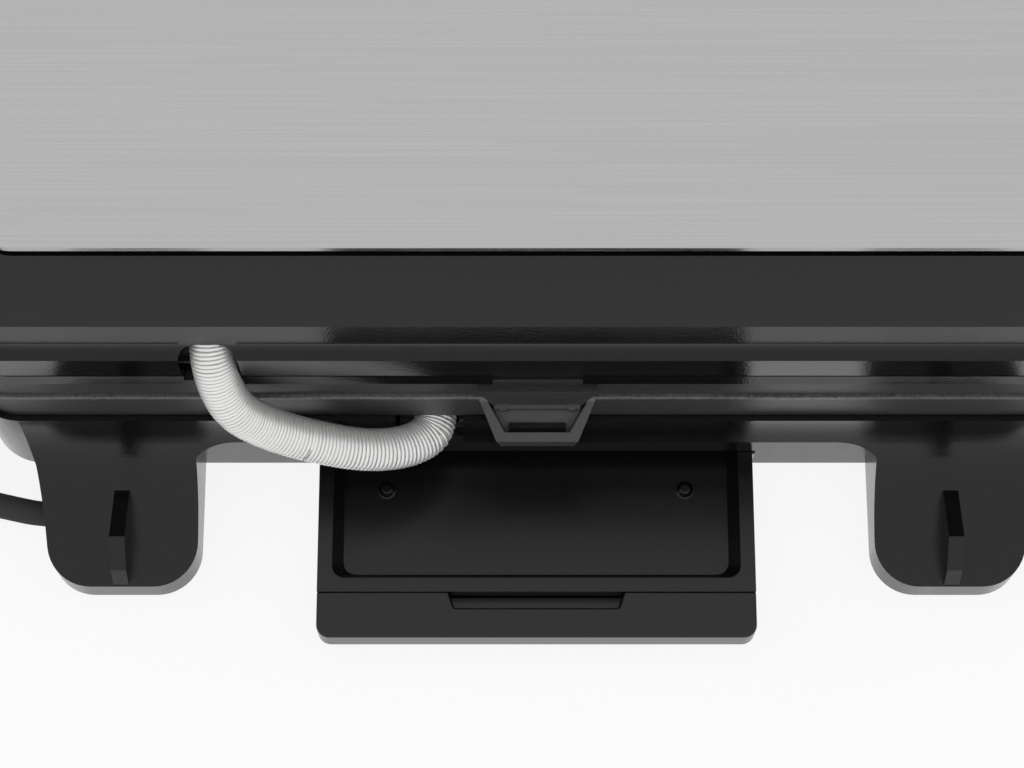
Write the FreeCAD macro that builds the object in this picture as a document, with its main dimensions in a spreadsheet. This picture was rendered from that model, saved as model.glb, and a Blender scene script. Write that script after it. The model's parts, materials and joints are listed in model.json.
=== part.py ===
import FreeCAD, Part
import math
import os
import Sketcher

# A contact grill with a drip tray that slides out at the back.
# Frame: +Z up, the back of the grill faces +Y, the handle faces -Y, the floor is Z = 0,
# and the origin is the middle of the footprint.

DOC = FreeCAD.newDocument("ContactGrill")
SHEET = DOC.addObject("Spreadsheet::Sheet", "Sizes")

# alias, number in millimetres or degrees, meaning
SIZE_TABLE = (
    # lower housing
    ("body_half_width", 177.0, "half width of the lower housing"),
    ("wall_rear", 115.0, "back face of the lower housing"),
    ("wall_front", 125.0, "distance of the front face"),
    ("corner_radius", 17.5, "corner radius of the housings"),
    ("shell_wall", 2.6, "wall of the housings"),
    ("underside", 3.0, "height of the lower housing over the floor"),
    ("rim_top", 49.0, "top edge of the lower housing"),
    ("rim_lip", 1.2, "thickness of the lip round the lower plate"),
    ("plate_seat", 47.6, "height of the ledge that carries the lower plate"),
    ("ledge_depth", 7.5, "depth of that ledge from the outer face"),
    ("ledge_height", 3.5, "thickness of that ledge"),
    # flared legs at the back
    ("flare_inset", 17.0, "how far the flare stands inside the housing's side, at the wall"),
    ("waist_inset", 19.4, "how far it stands inside where its side turns"),
    ("waist_reach", 8.0, "where its side turns, behind the wall"),
    ("toe_inset", 23.8, "how far a toe stands inside the housing's side"),
    ("toe_reach", 44.0, "how far the toes stand behind the wall"),
    ("flare_radius", 32.5, "radius of the concave flare"),
    ("flare_turn", 81.0, "angle over which the flare turns"),
    ("toe_corner", 14.0, "plan radius of the toe corners"),
    ("leg_width", 46.2, "width of a leg at its toe"),
    ("apron_height", 35.6, "height of the apron edge between the legs"),
    ("apron_run", 13.0, "how far an apron corner reaches from the leg"),
    ("apron_corner", 17.3, "radius of the apron corners"),
    ("leg_wall", 2.8, "wall of the legs"),
    ("leg_side_wall", 3.0, "outer side wall of a leg"),
    ("toe_solid", 9.4, "depth of the solid end of a toe"),
    ("fin_inset", 22.2, "distance of a fin from the outer side of its toe"),
    ("fin_width", 4.8, "width of a fin"),
    ("fin_start", 14.6, "where a fin starts, behind the wall"),
    ("fin_peak", 31.4, "where a fin is highest, behind the wall"),
    ("fin_peak_height", 28.6, "height of that peak"),
    ("fin_shoulder", 40.6, "where the back slope of a fin ends"),
    ("fin_shoulder_height", 21.8, "height of that place"),
    ("fin_end", 43.6, "foot of the end face of a fin"),
    # openings of the lower housing
    ("conduit_notch_place", 33.2, "middle of the notch for the conduit in the back wall"),
    ("conduit_notch_half", 10.4, "half width of that notch"),
    ("conduit_notch_floor", 33.6, "bottom of that notch"),
    ("cord_hole_half", 5.4, "half width of the cord notch in the leg"),
    ("cord_hole_top", 15.0, "top of the cord notch in the leg"),
    ("cord_level", 9.4, "height of the cord where it leaves the leg"),
    ("cord_line", 134.3, "where the cord leaves the leg, along the depth"),
    ("boss_radius", 4.0, "radius of a screw boss"),
    ("boss_inset", 5.6, "distance of a boss from the outer face"),
    ("boss_side_row", 88.0, "distance of the outer bosses from the middle of the depth"),
    ("boss_front_inset", 67.0, "distance of the front bosses from the housing's side"),
    ("boss_top", 30.0, "top of the bosses"),
    ("screw_radius", 1.6, "shank radius of the screws"),
    ("screw_head_radius", 3.2, "head radius of the screws"),
    ("screw_head_height", 1.8, "head height of the screws"),
    # bottom cover and feet
    ("cover_clearance", 0.3, "gap round the bottom cover"),
    ("cover_thickness", 1.6, "sheet of the bottom cover"),
    ("vent_length", 40.0, "length of a vent slot"),
    ("vent_width", 4.0, "width of a vent slot"),
    ("vent_pitch", 10.0, "pitch of the vent slots"),
    ("vent_count", 6.0, "number of vent slots in a field"),
    ("foot_radius", 9.0, "radius of a rubber foot"),
    ("foot_side_inset", 27.0, "distance of a front foot from the housing's side"),
    ("foot_front_inset", 30.0, "distance of a front foot from the housing's front"),
    ("toe_foot_length", 30.0, "length of the rubber pad under a toe"),
    ("toe_foot_depth", 8.0, "depth of that pad"),
    ("toe_foot_gap", 1.8, "distance of that pad from the end of the toe"),
    # drip tray
    ("tray_half_width", 69.2, "half width of the drip tray"),
    ("tray_bottom", 4.9, "underside of the drip tray"),
    ("tray_height", 11.0, "height of the drip tray"),
    ("tray_seam", 161.0, "joint between the tray and its front piece"),
    ("tray_length", 108.0, "length of the tray body"),
    ("tray_rim", 4.7, "width of the tray rim"),
    ("tray_draft", 2.9, "inward slope of the tray walls over their height"),
    ("tray_floor", 1.6, "floor of the tray"),
    ("tray_well_corner", 4.0, "corner radius of the tray well"),
    ("tray_gap", 0.9, "running gap round the tray"),
    ("bay_wall", 1.6, "wall of the tray bay"),
    ("bay_front", 30.0, "front end of the tray bay"),
    ("bump_place", 48.0, "distance of the stop bumps from the middle"),
    ("bump_back", 35.8, "distance of the stop bumps from the seam"),
    ("bump_radius", 2.7, "radius of a stop bump at its foot"),
    ("bump_top_radius", 1.5, "radius of a stop bump at its top"),
    ("bump_height", 1.7, "height of a stop bump"),
    ("front_depth", 14.6, "depth of the tray front piece"),
    ("front_corner", 4.2, "corner radius of the tray front piece"),
    ("front_edge", 0.9, "rounding of its top edge"),
    ("grip_half_rear", 26.0, "half width of the finger recess at its back"),
    ("grip_half_seam", 27.7, "half width of the finger recess at the seam"),
    ("grip_depth", 5.2, "depth of the finger recess along the tray"),
    ("grip_floor", 9.0, "height of the finger recess floor"),
    # grill plates
    ("plate_gap", 2.2, "gap from the housing face to the lower plate face"),
    ("plate_top", 65.3, "top of the lower plate rim"),
    ("plate_skirt", 3.2, "skirt of the plates"),
    ("plate_floor", 3.0, "floor of the plates"),
    ("plate_recess", 5.0, "depth of the cooking surface under the rim"),
    ("plate_land", 7.0, "width of the plate rim"),
    ("rib_width", 3.0, "width of a rib"),
    ("rib_pitch", 10.0, "pitch of the ribs"),
    ("rib_side_gap", 4.0, "least space between the outer ribs and the rim"),
    ("rib_height", 4.2, "height of a rib"),
    ("rib_end_gap", 12.0, "gutter between the ribs and the rim"),
    ("parting_gap", 1.0, "gap between the plate rims"),
    ("upper_plate_inset", 1.1, "how far the upper plate stands inside the lower one"),
    ("post_radius", 4.0, "radius of a plate post"),
    ("post_inset", 57.0, "distance of a plate post from the housing's side"),
    ("post_deep", 70.0, "distance of the plate posts along the depth"),
    # spout of the lower plate and lip of the upper one
    ("spout_top_half", 18.6, "half width of the spout at the plate"),
    ("spout_base_half", 13.8, "half width of the spout bottom at the plate"),
    ("spout_tip_half", 12.6, "half width of the spout at its tip"),
    ("spout_tip_base_half", 11.2, "half width of the spout bottom at its tip"),
    ("spout_reach", 10.8, "how far the spout stands out of the plate"),
    ("spout_floor", 50.4, "underside of the spout"),
    ("spout_tip_top", 55.4, "top of the spout walls at the tip"),
    ("spout_wall", 2.5, "wall of the spout"),
    ("lip_top_half", 18.0, "half width of the lip at the upper plate"),
    ("lip_foot_half", 13.0, "half width of the lip at its foot"),
    ("lip_reach", 2.6, "how far the lip stands out of the upper plate"),
    ("lip_foot", 61.4, "height of the lip bar"),
    ("lip_bar_radius", 2.0, "radius of the bar along the lip"),
    ("lip_lump_radius", 2.6, "radius of the lumps at both ends of the lip"),
    # upper housing
    ("rim_inset", 2.2, "inset of the lower edge of the rim of the upper housing"),
    ("rim_lean", 0.7, "how far the rim leans in"),
    ("tier_inset", 2.0, "inset of the stepped tier"),
    ("groove_inset", 3.9, "inset of the groove between them"),
    ("head_bottom", 79.0, "underside of the upper housing"),
    ("rim_band", 5.0, "height of its rim"),
    ("groove_band", 3.6, "height of the groove"),
    ("tier_band", 13.6, "height of the tier"),
    ("cove_radius", 6.3, "radius of the cove"),
    ("cove_tilt", 64.0, "how far the lower end of the cove tilts out"),
    ("cove_upright", 11.4, "height of the nearly upright band over the cove"),
    ("cove_lean", 1.2, "how far that band leans in"),
    ("fascia_band", 27.4, "height of the sloping fascia"),
    ("fascia_lean", 11.1, "how far the fascia leans in"),
    ("fascia_top_corner", 14.2, "corner radius at the top of the fascia"),
    ("neck_band", 3.2, "height of the shadow gap under the cover"),
    ("neck_inset", 1.6, "depth of that gap"),
    ("head_cavity_inset", 6.8, "inset of the space inside the tier"),
    ("deck_thickness", 2.4, "deck under the lid cover"),
    ("upper_notch_place", 96.0, "middle of the conduit notch in the upper housing"),
    ("upper_notch_half", 8.8, "half width of that notch"),
    ("upper_notch_top", 105.6, "top of that notch"),
    ("upper_notch_corner", 6.5, "corner radius of that notch"),
    ("spout_notch_half", 13.4, "half width of the rim notch over the spout"),
    # lid cover
    ("cover_height", 3.6, "height of the lid cover"),
    ("cover_edge", 1.2, "rounding of its edge"),
    ("cover_sheet", 1.0, "sheet of the lid cover"),
    ("cover_outset", 0.1, "how far the cover stands inside the fascia top"),
    # handle
    ("handle_reach", 175.6, "front of the handle"),
    ("grip_radius", 12.0, "radius of the handle grip"),
    ("grip_half_length", 105.0, "half length of the grip"),
    ("grip_level", 126.0, "height of the grip"),
    ("grip_end_round", 5.0, "rounding of the grip ends"),
    ("bracket_place", 78.0, "distance of a handle bracket from the middle"),
    ("bracket_width", 16.0, "width of a handle bracket"),
    ("bracket_low", 118.4, "lower edge of the bracket foot"),
    ("bracket_high", 139.0, "upper edge of the bracket foot"),
    ("bracket_half", 7.0, "half height of the bracket arm"),
    ("handle_screw_grip", 10.5, "how far a handle screw reaches into its bracket"),
    # hinge
    ("hinge_back", 120.5, "hinge axis, behind the middle"),
    ("hinge_level", 67.5, "hinge axis, over the floor"),
    ("float_travel", 18.0, "how far the hinge can rise"),
    ("arm_gap", 1.3, "gap between the housing and a hinge arm"),
    ("arm_thickness", 3.0, "sheet of a hinge arm"),
    ("arm_eye", 8.0, "radius of the eye of a hinge arm"),
    ("arm_front", 40.0, "front end of a hinge arm"),
    ("arm_step", 20.8, "how far before the hinge axis the arm turns down"),
    ("arm_neck", 11.2, "how far before the hinge axis the arm's upper edge turns down"),
    ("arm_boss_gap", 27.2, "how far before the hinge axis the arm's boss ends"),
    ("arm_low", 88.2, "lower edge of the arm on the tier"),
    ("arm_high", 99.0, "upper edge of the arm on the tier"),
    ("tower_gap", 0.7, "gap between a hinge arm and a tower"),
    ("tower_thickness", 10.0, "thickness of a hinge tower"),
    ("tower_top", 99.0, "top of a hinge tower"),
    ("tower_back", 132.5, "back of a hinge tower"),
    ("tower_front", 60.0, "front of a hinge tower"),
    ("tower_foot_low", 14.0, "underside of the tower foot"),
    ("tower_foot_high", 42.0, "top of the tower foot"),
    ("tower_foot_back", 96.0, "back end of the tower foot"),
    ("block_half_depth", 5.0, "half depth of a slide block"),
    ("block_half_height", 7.0, "half height of a slide block"),
    ("block_gap", 0.1, "running gap of a slide block"),
    ("pin_radius", 3.0, "radius of a hinge pin"),
    ("pin_gap", 0.05, "running gap of a hinge pin"),
    ("pin_cap_radius", 5.4, "radius of the cap of a hinge pin"),
    ("pin_cap_height", 2.2, "height of that cap"),
    # controls
    ("knob_radius", 16.5, "radius of the thermostat knob"),
    ("knob_depth", 14.0, "depth of the knob"),
    ("knob_gap", 0.8, "gap behind the knob"),
    ("knob_level", 26.5, "height of the knob"),
    ("knob_ridge_half", 3.2, "half width of the grip ridge on the knob"),
    ("knob_ridge_depth", 7.0, "depth of that ridge"),
    ("spindle_radius", 3.0, "radius of the thermostat spindle"),
    ("spindle_gap", 0.5, "gap round the spindle"),
    ("panel_half_width", 62.0, "half width of the control panel"),
    ("panel_low", 7.5, "lower edge of the control panel"),
    ("panel_high", 45.0, "upper edge of the control panel"),
    ("panel_thickness", 1.6, "thickness of the control panel"),
    ("panel_corner", 5.0, "corner radius of the control panel"),
    ("lamp_place", 42.0, "distance of a lamp from the middle"),
    ("lamp_radius", 3.0, "radius of a lamp"),
    ("lamp_depth", 9.0, "depth of a lamp"),
    # inside
    ("element_radius", 3.2, "radius of a heating element"),
    ("element_side_inset", 37.0, "distance of the element loop from the housing's side"),
    ("element_back_inset", 31.0, "distance of its back run from the housing's back"),
    ("element_front_inset", 33.0, "distance of its front run from the housing's front"),
    ("element_bend", 28.0, "bend radius of the element"),
    ("element_open", 30.0, "half gap between the ends of the element"),
    ("reflector_sheet", 0.8, "sheet of a reflector"),
    ("reflector_gap", 0.5, "gap between a reflector and the plate skirt"),
    ("thermostat_width", 34.0, "width of the thermostat"),
    ("thermostat_depth", 18.0, "depth of the thermostat"),
    ("thermostat_height", 26.0, "height of the thermostat"),
    ("terminal_width", 38.0, "width of the terminal block"),
    ("terminal_depth", 15.0, "depth of the terminal block"),
    ("terminal_height", 13.0, "height of the terminal block"),
    ("terminal_inset", 82.0, "distance of the terminal block's inner side from the housing's side"),
    ("terminal_back_inset", 55.0, "distance of its front side from the housing's back"),
    ("cutout_radius", 8.0, "radius of the thermal cut-out"),
    ("cutout_height", 6.0, "height of the thermal cut-out"),
    ("lead_radius", 2.2, "radius of the leads inside"),
    # conduit
    ("conduit_radius", 6.7, "outer radius of the sprung conduit"),
    ("clamp_place", 31.0, "where the conduit enters the back wall, across"),
    ("clamp_half", 12.0, "half width of a conduit clamp"),
    ("clamp_depth", 9.0, "depth of the lower conduit clamp"),
    ("clamp_floor", 30.6, "underside of the lower conduit clamp"),
    ("grommet_depth", 2.2, "depth of the upper conduit grommet"),
    ("grommet_edge", 3.4, "width of its frame"),
    ("grommet_sill", 0.8, "thickness of its sill"),
    ("conduit_clearance", 0.3, "space between the conduit and the lower plate"),
    # mains cord
    ("cord_radius", 4.1, "radius of the mains cord"),
    ("relief_root_radius", 5.7, "root radius of the strain relief"),
    ("relief_tip_radius", 4.6, "tip radius of the strain relief"),
    ("relief_inset", 32.2, "distance of the strain relief's root from the outer side of the toe"),
    ("relief_length", 26.0, "length of the strain relief"),
    ("gland_width", 9.5, "width of the cord gland block"),
    ("gland_height", 8.5, "height of the cord gland block over the leg edge"),
    ("coil_radius", 46.0, "radius of the cord coil at the middle of its turns"),
    ("coil_out", 123.0, "middle of the coil, out from the housing's side"),
    ("coil_rise", 7.1, "height of the coil's upper layer over its lower one"),
    ("coil_floor_gap", 0.1, "space between the free cord and the floor"),
    ("coil_back", 79.0, "middle of the coil along the depth"),
    ("plug_length", 36.0, "length of the plug body"),
    ("plug_half_width", 17.5, "half width of the plug body"),
    ("plug_half_height", 13.5, "half height of the plug body"),
    ("plug_corner", 9.0, "corner radius of the plug body"),
    ("plug_back", 33.0, "axis of the plug along the depth"),
    ("plug_level", 13.6, "axis of the plug over the floor"),
    ("plug_out", 66.0, "cord end of the plug, out from the housing's side"),
    ("plug_pin_radius", 2.4, "radius of a plug pin"),
    ("plug_pin_length", 19.0, "length of a plug pin"),
    ("plug_pin_spread", 9.5, "distance of a plug pin from the middle"),
)


class Size:
    """A length or angle: its value now, and the sheet expression that keeps it bound."""

    def __init__(self, value, text):
        self.value = float(value)
        self.text = text

    def __add__(self, other):
        other = as_size(other)
        return Size(self.value + other.value, f"({self.text} + {other.text})")

    def __sub__(self, other):
        other = as_size(other)
        return Size(self.value - other.value, f"({self.text} - {other.text})")

    def __mul__(self, other):
        other = as_size(other)
        return Size(self.value * other.value, f"({self.text} * {other.text})")

    def __truediv__(self, other):
        other = as_size(other)
        return Size(self.value / other.value, f"({self.text} / {other.text})")

    def __neg__(self):
        return Size(-self.value, f"(-1 * {self.text})")

    def __radd__(self, other):
        return as_size(other) + self

    def __rsub__(self, other):
        return as_size(other) - self

    def __rmul__(self, other):
        return as_size(other) * self


def as_size(number):
    """A plain number as a size that no cell drives."""
    if isinstance(number, Size):
        return number
    return Size(number, f"({number})")


def sine(angle):
    return Size(math.sin(math.radians(angle.value)), f"sin({angle.text} * 1 deg)")


def cosine(angle):
    return Size(math.cos(math.radians(angle.value)), f"cos({angle.text} * 1 deg)")


def slope_angle(reach, rise):
    slope = reach / rise
    return Size(math.degrees(math.atan(slope.value)), f"(atan({slope.text}) / 1 deg)")


def root(size):
    return Size(math.sqrt(size.value), f"sqrt({size.text})")


def whole_number(size):
    return Size(math.floor(size.value), f"floor({size.text})")


class SizeSheet:
    """Writes the table to the spreadsheet, and gives each alias as a size."""

    def __init__(self, table):
        for row, (alias, number, meaning) in enumerate(table, start=1):
            SHEET.set(f"A{row}", meaning)
            SHEET.set(f"B{row}", str(number))
            SHEET.setAlias(f"B{row}", alias)
            setattr(self, alias, Size(number, f"Sizes.{alias}"))


s = SizeSheet(SIZE_TABLE)
DOC.recompute()

NODES = []


def node(shape_object, label):
    """Names the finished sub-part, which is written to its own file."""
    shape_object.Label = label
    NODES.append(shape_object)
    return shape_object


def bind(target, path, size):
    target.setExpression(path, as_size(size).text)


# ---------------------------------------------------------------- sketches and bodies

def new_body(name):
    return DOC.addObject("PartDesign::Body", name + "_body")


def new_sketch(body, name, plane, level):
    """A sketch on one of the body's own origin planes, lifted along the plane's axis."""
    sketch = body.newObject("Sketcher::SketchObject", name)
    role = {"XY": "XY_Plane", "XZ": "XZ_Plane", "YZ": "YZ_Plane"}[plane]
    support = [item for item in body.Origin.OriginFeatures if item.Role == role][0]
    sketch.AttachmentSupport = [(support, "")]
    sketch.MapMode = "FlatFace"
    level = as_size(level)
    lift = -level if plane == "XZ" else level
    bind(sketch, "AttachmentOffset.Base.z", lift)
    return sketch


def hold(sketch, kind, geometry, place, size):
    """One coordinate of a sketch point, bound to the sheet."""
    size = as_size(size)
    number = sketch.addConstraint(Sketcher.Constraint(kind, -1, 1, geometry, place, size.value))
    bind(sketch, f"Constraints[{number}]", size)


def hold_point(sketch, geometry, place, x, y):
    hold(sketch, "DistanceX", geometry, place, x)
    hold(sketch, "DistanceY", geometry, place, y)


def flat(x, y):
    return FreeCAD.Vector(as_size(x).value, as_size(y).value, 0)


def polygon(sketch, corners):
    """A closed outline of straight lines."""
    first = sketch.GeometryCount
    count = len(corners)
    for index, corner in enumerate(corners):
        after = corners[(index + 1) % count]
        sketch.addGeometry(Part.LineSegment(flat(*corner), flat(*after)), False)
    for index in range(count):
        following = first + (index + 1) % count
        sketch.addConstraint(Sketcher.Constraint("Coincident", first + index, 2, following, 1))
    for index, corner in enumerate(corners):
        hold_point(sketch, first + index, 1, *corner)


def circle(sketch, x, y, radius):
    radius = as_size(radius)
    number = sketch.addGeometry(Part.Circle(flat(x, y), FreeCAD.Vector(0, 0, 1), radius.value), False)
    hold_point(sketch, number, 3, x, y)
    index = sketch.addConstraint(Sketcher.Constraint("Radius", number, radius.value))
    bind(sketch, f"Constraints[{index}]", radius)


def rounded_rectangle(sketch, left, right, low, high, radius):
    """Four lines and four equal corner arcs, held to the sheet."""
    left, right, low, high, radius = [as_size(size) for size in (left, right, low, high, radius)]
    x0, x1, y0, y1, bend = left.value, right.value, low.value, high.value, radius.value
    corners = ((x1 - bend, y0 + bend, 270), (x1 - bend, y1 - bend, 0), (x0 + bend, y1 - bend, 90),
               (x0 + bend, y0 + bend, 180))
    sides = (((x0 + bend, y0), (x1 - bend, y0)), ((x1, y0 + bend), (x1, y1 - bend)),
             ((x1 - bend, y1), (x0 + bend, y1)), ((x0, y1 - bend), (x0, y0 + bend)))
    lines = [sketch.addGeometry(Part.LineSegment(flat(*a), flat(*b)), False) for a, b in sides]
    arcs = []
    for x, y, start in corners:
        whole = Part.Circle(flat(x, y), FreeCAD.Vector(0, 0, 1), bend)
        turn = Part.ArcOfCircle(whole, math.radians(start), math.radians(start + 90))
        arcs.append(sketch.addGeometry(turn, False))
    for index in range(4):
        sketch.addConstraint(Sketcher.Constraint("Tangent", lines[index], 2, arcs[index], 1))
        sketch.addConstraint(Sketcher.Constraint("Tangent", arcs[index], 2, lines[(index + 1) % 4], 1))
    for index in (0, 2):
        sketch.addConstraint(Sketcher.Constraint("Horizontal", lines[index]))
        sketch.addConstraint(Sketcher.Constraint("Vertical", lines[index + 1]))
    for index in range(1, 4):
        sketch.addConstraint(Sketcher.Constraint("Equal", arcs[0], arcs[index]))
    number = sketch.addConstraint(Sketcher.Constraint("Radius", arcs[0], bend))
    bind(sketch, f"Constraints[{number}]", radius)
    hold(sketch, "DistanceY", lines[0], 1, low)
    hold(sketch, "DistanceX", lines[1], 1, right)
    hold(sketch, "DistanceY", lines[2], 1, high)
    hold(sketch, "DistanceX", lines[3], 1, left)


def arc_in_outline(sketch, centre, start, finish):
    """An anticlockwise arc about a centre; start and finish are points on it."""
    cx, cy = as_size(centre[0]).value, as_size(centre[1]).value
    sx, sy = as_size(start[0]).value - cx, as_size(start[1]).value - cy
    fx, fy = as_size(finish[0]).value - cx, as_size(finish[1]).value - cy
    whole = Part.Circle(flat(*centre), FreeCAD.Vector(0, 0, 1), math.hypot(sx, sy))
    turn = Part.ArcOfCircle(whole, math.atan2(sy, sx), math.atan2(fy, fx))
    number = sketch.addGeometry(turn, False)
    hold_point(sketch, number, 3, *centre)
    return number


def line_in_outline(sketch, start, finish):
    return sketch.addGeometry(Part.LineSegment(flat(*start), flat(*finish)), False)


def join_points(sketch, pairs):
    for first, first_end, second, second_end in pairs:
        sketch.addConstraint(Sketcher.Constraint("Coincident", first, first_end, second, second_end))


def prism(body, kind, name, plane, low, high, draw):
    """A Pad or a Pocket between two levels along the axis of its plane."""
    low, high = as_size(low), as_size(high)
    from_low = (kind == "Pad") != (plane == "XZ")
    sketch = new_sketch(body, name + "_sketch", plane, low if from_low else high)
    draw(sketch)
    feature = body.newObject("PartDesign::" + kind, name)
    feature.Profile = sketch
    bind(feature, "Length", high - low)
    sketch.Visibility = False
    body.Tip = feature
    return feature


def loft(body, kind, name, plane, sections):
    """An AdditiveLoft or SubtractiveLoft through outlines at rising levels."""
    sketches = []
    for index, (level, draw) in enumerate(sections):
        sketch = new_sketch(body, f"{name}_section_{index + 1}", plane, level)
        draw(sketch)
        sketches.append(sketch)
    feature = body.newObject("PartDesign::" + kind, name)
    feature.Profile = sketches[0]
    feature.Sections = sketches[1:]
    body.Tip = feature
    return feature


def edge_names(shape, wanted):
    return [f"Edge{index + 1}" for index, edge in enumerate(shape.Edges) if wanted(edge)]


def is_upright_at(edge, places, reach=0.6):
    """Whether an edge stands upright on one of the plan points."""
    box = edge.BoundBox
    if box.XLength > 0.01 or box.YLength > 0.01 or box.ZLength < 0.5:
        return False
    return any(math.hypot(box.XMin - x, box.YMin - y) < reach for x, y in places)


def round_edges(body, kind, name, size_name, size, wanted):
    """A PartDesign Fillet or Chamfer on the edges of the tip that are wanted."""
    DOC.recompute()
    base = body.Tip
    names = edge_names(base.Shape, wanted)
    if not names:
        raise RuntimeError(f"{name}: no edges found")
    feature = body.newObject("PartDesign::" + kind, name)
    feature.Base = (base, names)
    bind(feature, size_name, size)
    body.Tip = feature
    return feature


# ---------------------------------------------------------------- primitives and booleans

def block(name, x0, x1, y0, y1, z0, z1):
    x0, x1, y0, y1, z0, z1 = [as_size(size) for size in (x0, x1, y0, y1, z0, z1)]
    box = DOC.addObject("Part::Box", name)
    bind(box, "Length", x1 - x0)
    bind(box, "Width", y1 - y0)
    bind(box, "Height", z1 - z0)
    place(box, x0, y0, z0)
    return box


def place(target, x, y, z):
    bind(target, "Placement.Base.x", x)
    bind(target, "Placement.Base.y", y)
    bind(target, "Placement.Base.z", z)


TURNS = {
    "X": FreeCAD.Rotation(FreeCAD.Vector(0, 1, 0), 90),
    "Y": FreeCAD.Rotation(FreeCAD.Vector(1, 0, 0), -90),
    "Z": FreeCAD.Rotation(),
}


def rod(name, axis, x, y, z, radius, length):
    """A cylinder that starts at a point and runs along +X, +Y or +Z."""
    cylinder = DOC.addObject("Part::Cylinder", name)
    cylinder.Placement = FreeCAD.Placement(FreeCAD.Vector(), TURNS[axis])
    bind(cylinder, "Radius", radius)
    bind(cylinder, "Height", length)
    place(cylinder, x, y, z)
    return cylinder


def cone(name, axis, x, y, z, root_radius, tip_radius, length):
    taper = DOC.addObject("Part::Cone", name)
    taper.Placement = FreeCAD.Placement(FreeCAD.Vector(), TURNS[axis])
    bind(taper, "Radius1", root_radius)
    bind(taper, "Radius2", tip_radius)
    bind(taper, "Height", length)
    place(taper, x, y, z)
    return taper


def join(name, parts):
    whole = DOC.addObject("Part::MultiFuse", name)
    whole.Shapes = parts
    whole.Refine = True
    return whole


def group(name, parts):
    """Separate solids that share one node."""
    whole = DOC.addObject("Part::Compound", name)
    whole.Links = parts
    return whole


def cut(name, base, tools):
    tool = tools[0] if len(tools) == 1 else join(name + "_tools", tools)
    whole = DOC.addObject("Part::Cut", name)
    whole.Base = base
    whole.Tool = tool
    return whole


def tube(name, points, radius, bends=None):
    """A round bar along straight runs and tangent arcs; prints its arc radii."""
    points = [FreeCAD.Vector(*[as_size(size).value for size in point]) for point in points]
    radius = as_size(radius).value
    edges = []
    radii = []
    length = 0.0
    here = points[0]
    for index in range(1, len(points) - 1):
        before, corner, after = points[index - 1], points[index], points[index + 1]
        run_in = (before - corner)
        run_out = (after - corner)
        half_turn = (math.pi - run_in.getAngle(run_out)) / 2
        reach = 0.45 * min(run_in.Length, run_out.Length)
        if bends is not None:
            reach = min(reach, bends * math.tan(half_turn))
        first = corner + run_in.normalize() * reach
        last = corner + run_out.normalize() * reach
        bend = reach / math.tan(half_turn)
        inward = (run_in + run_out).normalize()
        middle = corner + inward * (bend / math.cos(half_turn) - bend)
        edges.append(Part.LineSegment(here, first).toShape())
        edges.append(Part.Arc(first, middle, last).toShape())
        radii.append(bend)
        here = last
    edges.append(Part.LineSegment(here, points[-1]).toShape())
    path = Part.Wire(edges)
    length = path.Length
    section = Part.Wire(Part.makeCircle(radius, points[0], points[1] - points[0]))
    solid = path.makePipeShell([section], True, False)
    if radii:
        share = solid.Volume / (math.pi * radius ** 2 * length)
        smallest = min(radii)
        print(f"{name}: length {length:.1f}, smallest bend {smallest:.1f}, volume share {share:.4f}")
        print("  bends " + ", ".join(f"{bend:.0f}" for bend in radii))
    feature = DOC.addObject("Part::Feature", name)
    feature.Shape = solid
    feature.Placement = FreeCAD.Placement()
    return feature


def ring_outline(inset, corner):
    """The outline of a housing layer, set in from the lower housing on all four sides."""
    inset, corner = as_size(inset), as_size(corner)

    def draw(sketch):
        half = s.body_half_width - inset
        rounded_rectangle(sketch, -half, half, inset - s.wall_front, s.wall_rear - inset, corner)

    return draw


def box_outline(left, right, low, high):
    def draw(sketch):
        polygon(sketch, ((left, low), (right, low), (right, high), (left, high)))
    return draw


# ---------------------------------------------------------------- lower housing

TOE_BACK = s.wall_rear + s.toe_reach
FLARE_HALF = s.body_half_width - s.flare_inset
WAIST_HALF = s.body_half_width - s.waist_inset
TOE_HALF = s.body_half_width - s.toe_inset
LEG_INNER = TOE_HALF - s.leg_width
APRON_HALF = LEG_INNER - s.apron_run
FIN_PLACE = TOE_HALF - s.fin_inset
POST_WIDE = s.body_half_width - s.post_inset
RELIEF_ROOT = TOE_HALF - s.relief_inset
FLARE_CENTRE_Y = s.wall_rear + s.flare_radius
FLARE_END_Y = FLARE_CENTRE_Y - s.flare_radius * cosine(s.flare_turn)
FLARE_END_Z = s.rim_top - s.flare_radius * sine(s.flare_turn)
TOE_SLOPE = cosine(s.flare_turn) / sine(s.flare_turn)
TOE_TOP = FLARE_END_Z - (TOE_BACK - FLARE_END_Y) * TOE_SLOPE


def flare_height(distance):
    """Height of the leg surface at a distance behind the back wall."""
    value = distance.value
    if s.wall_rear.value + value > FLARE_END_Y.value:
        return FLARE_END_Z - (s.wall_rear + distance - FLARE_END_Y) * TOE_SLOPE
    rise = s.flare_radius * s.flare_radius
    across = s.flare_radius - distance
    height = rise - across * across
    return s.rim_top - root(height)


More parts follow.
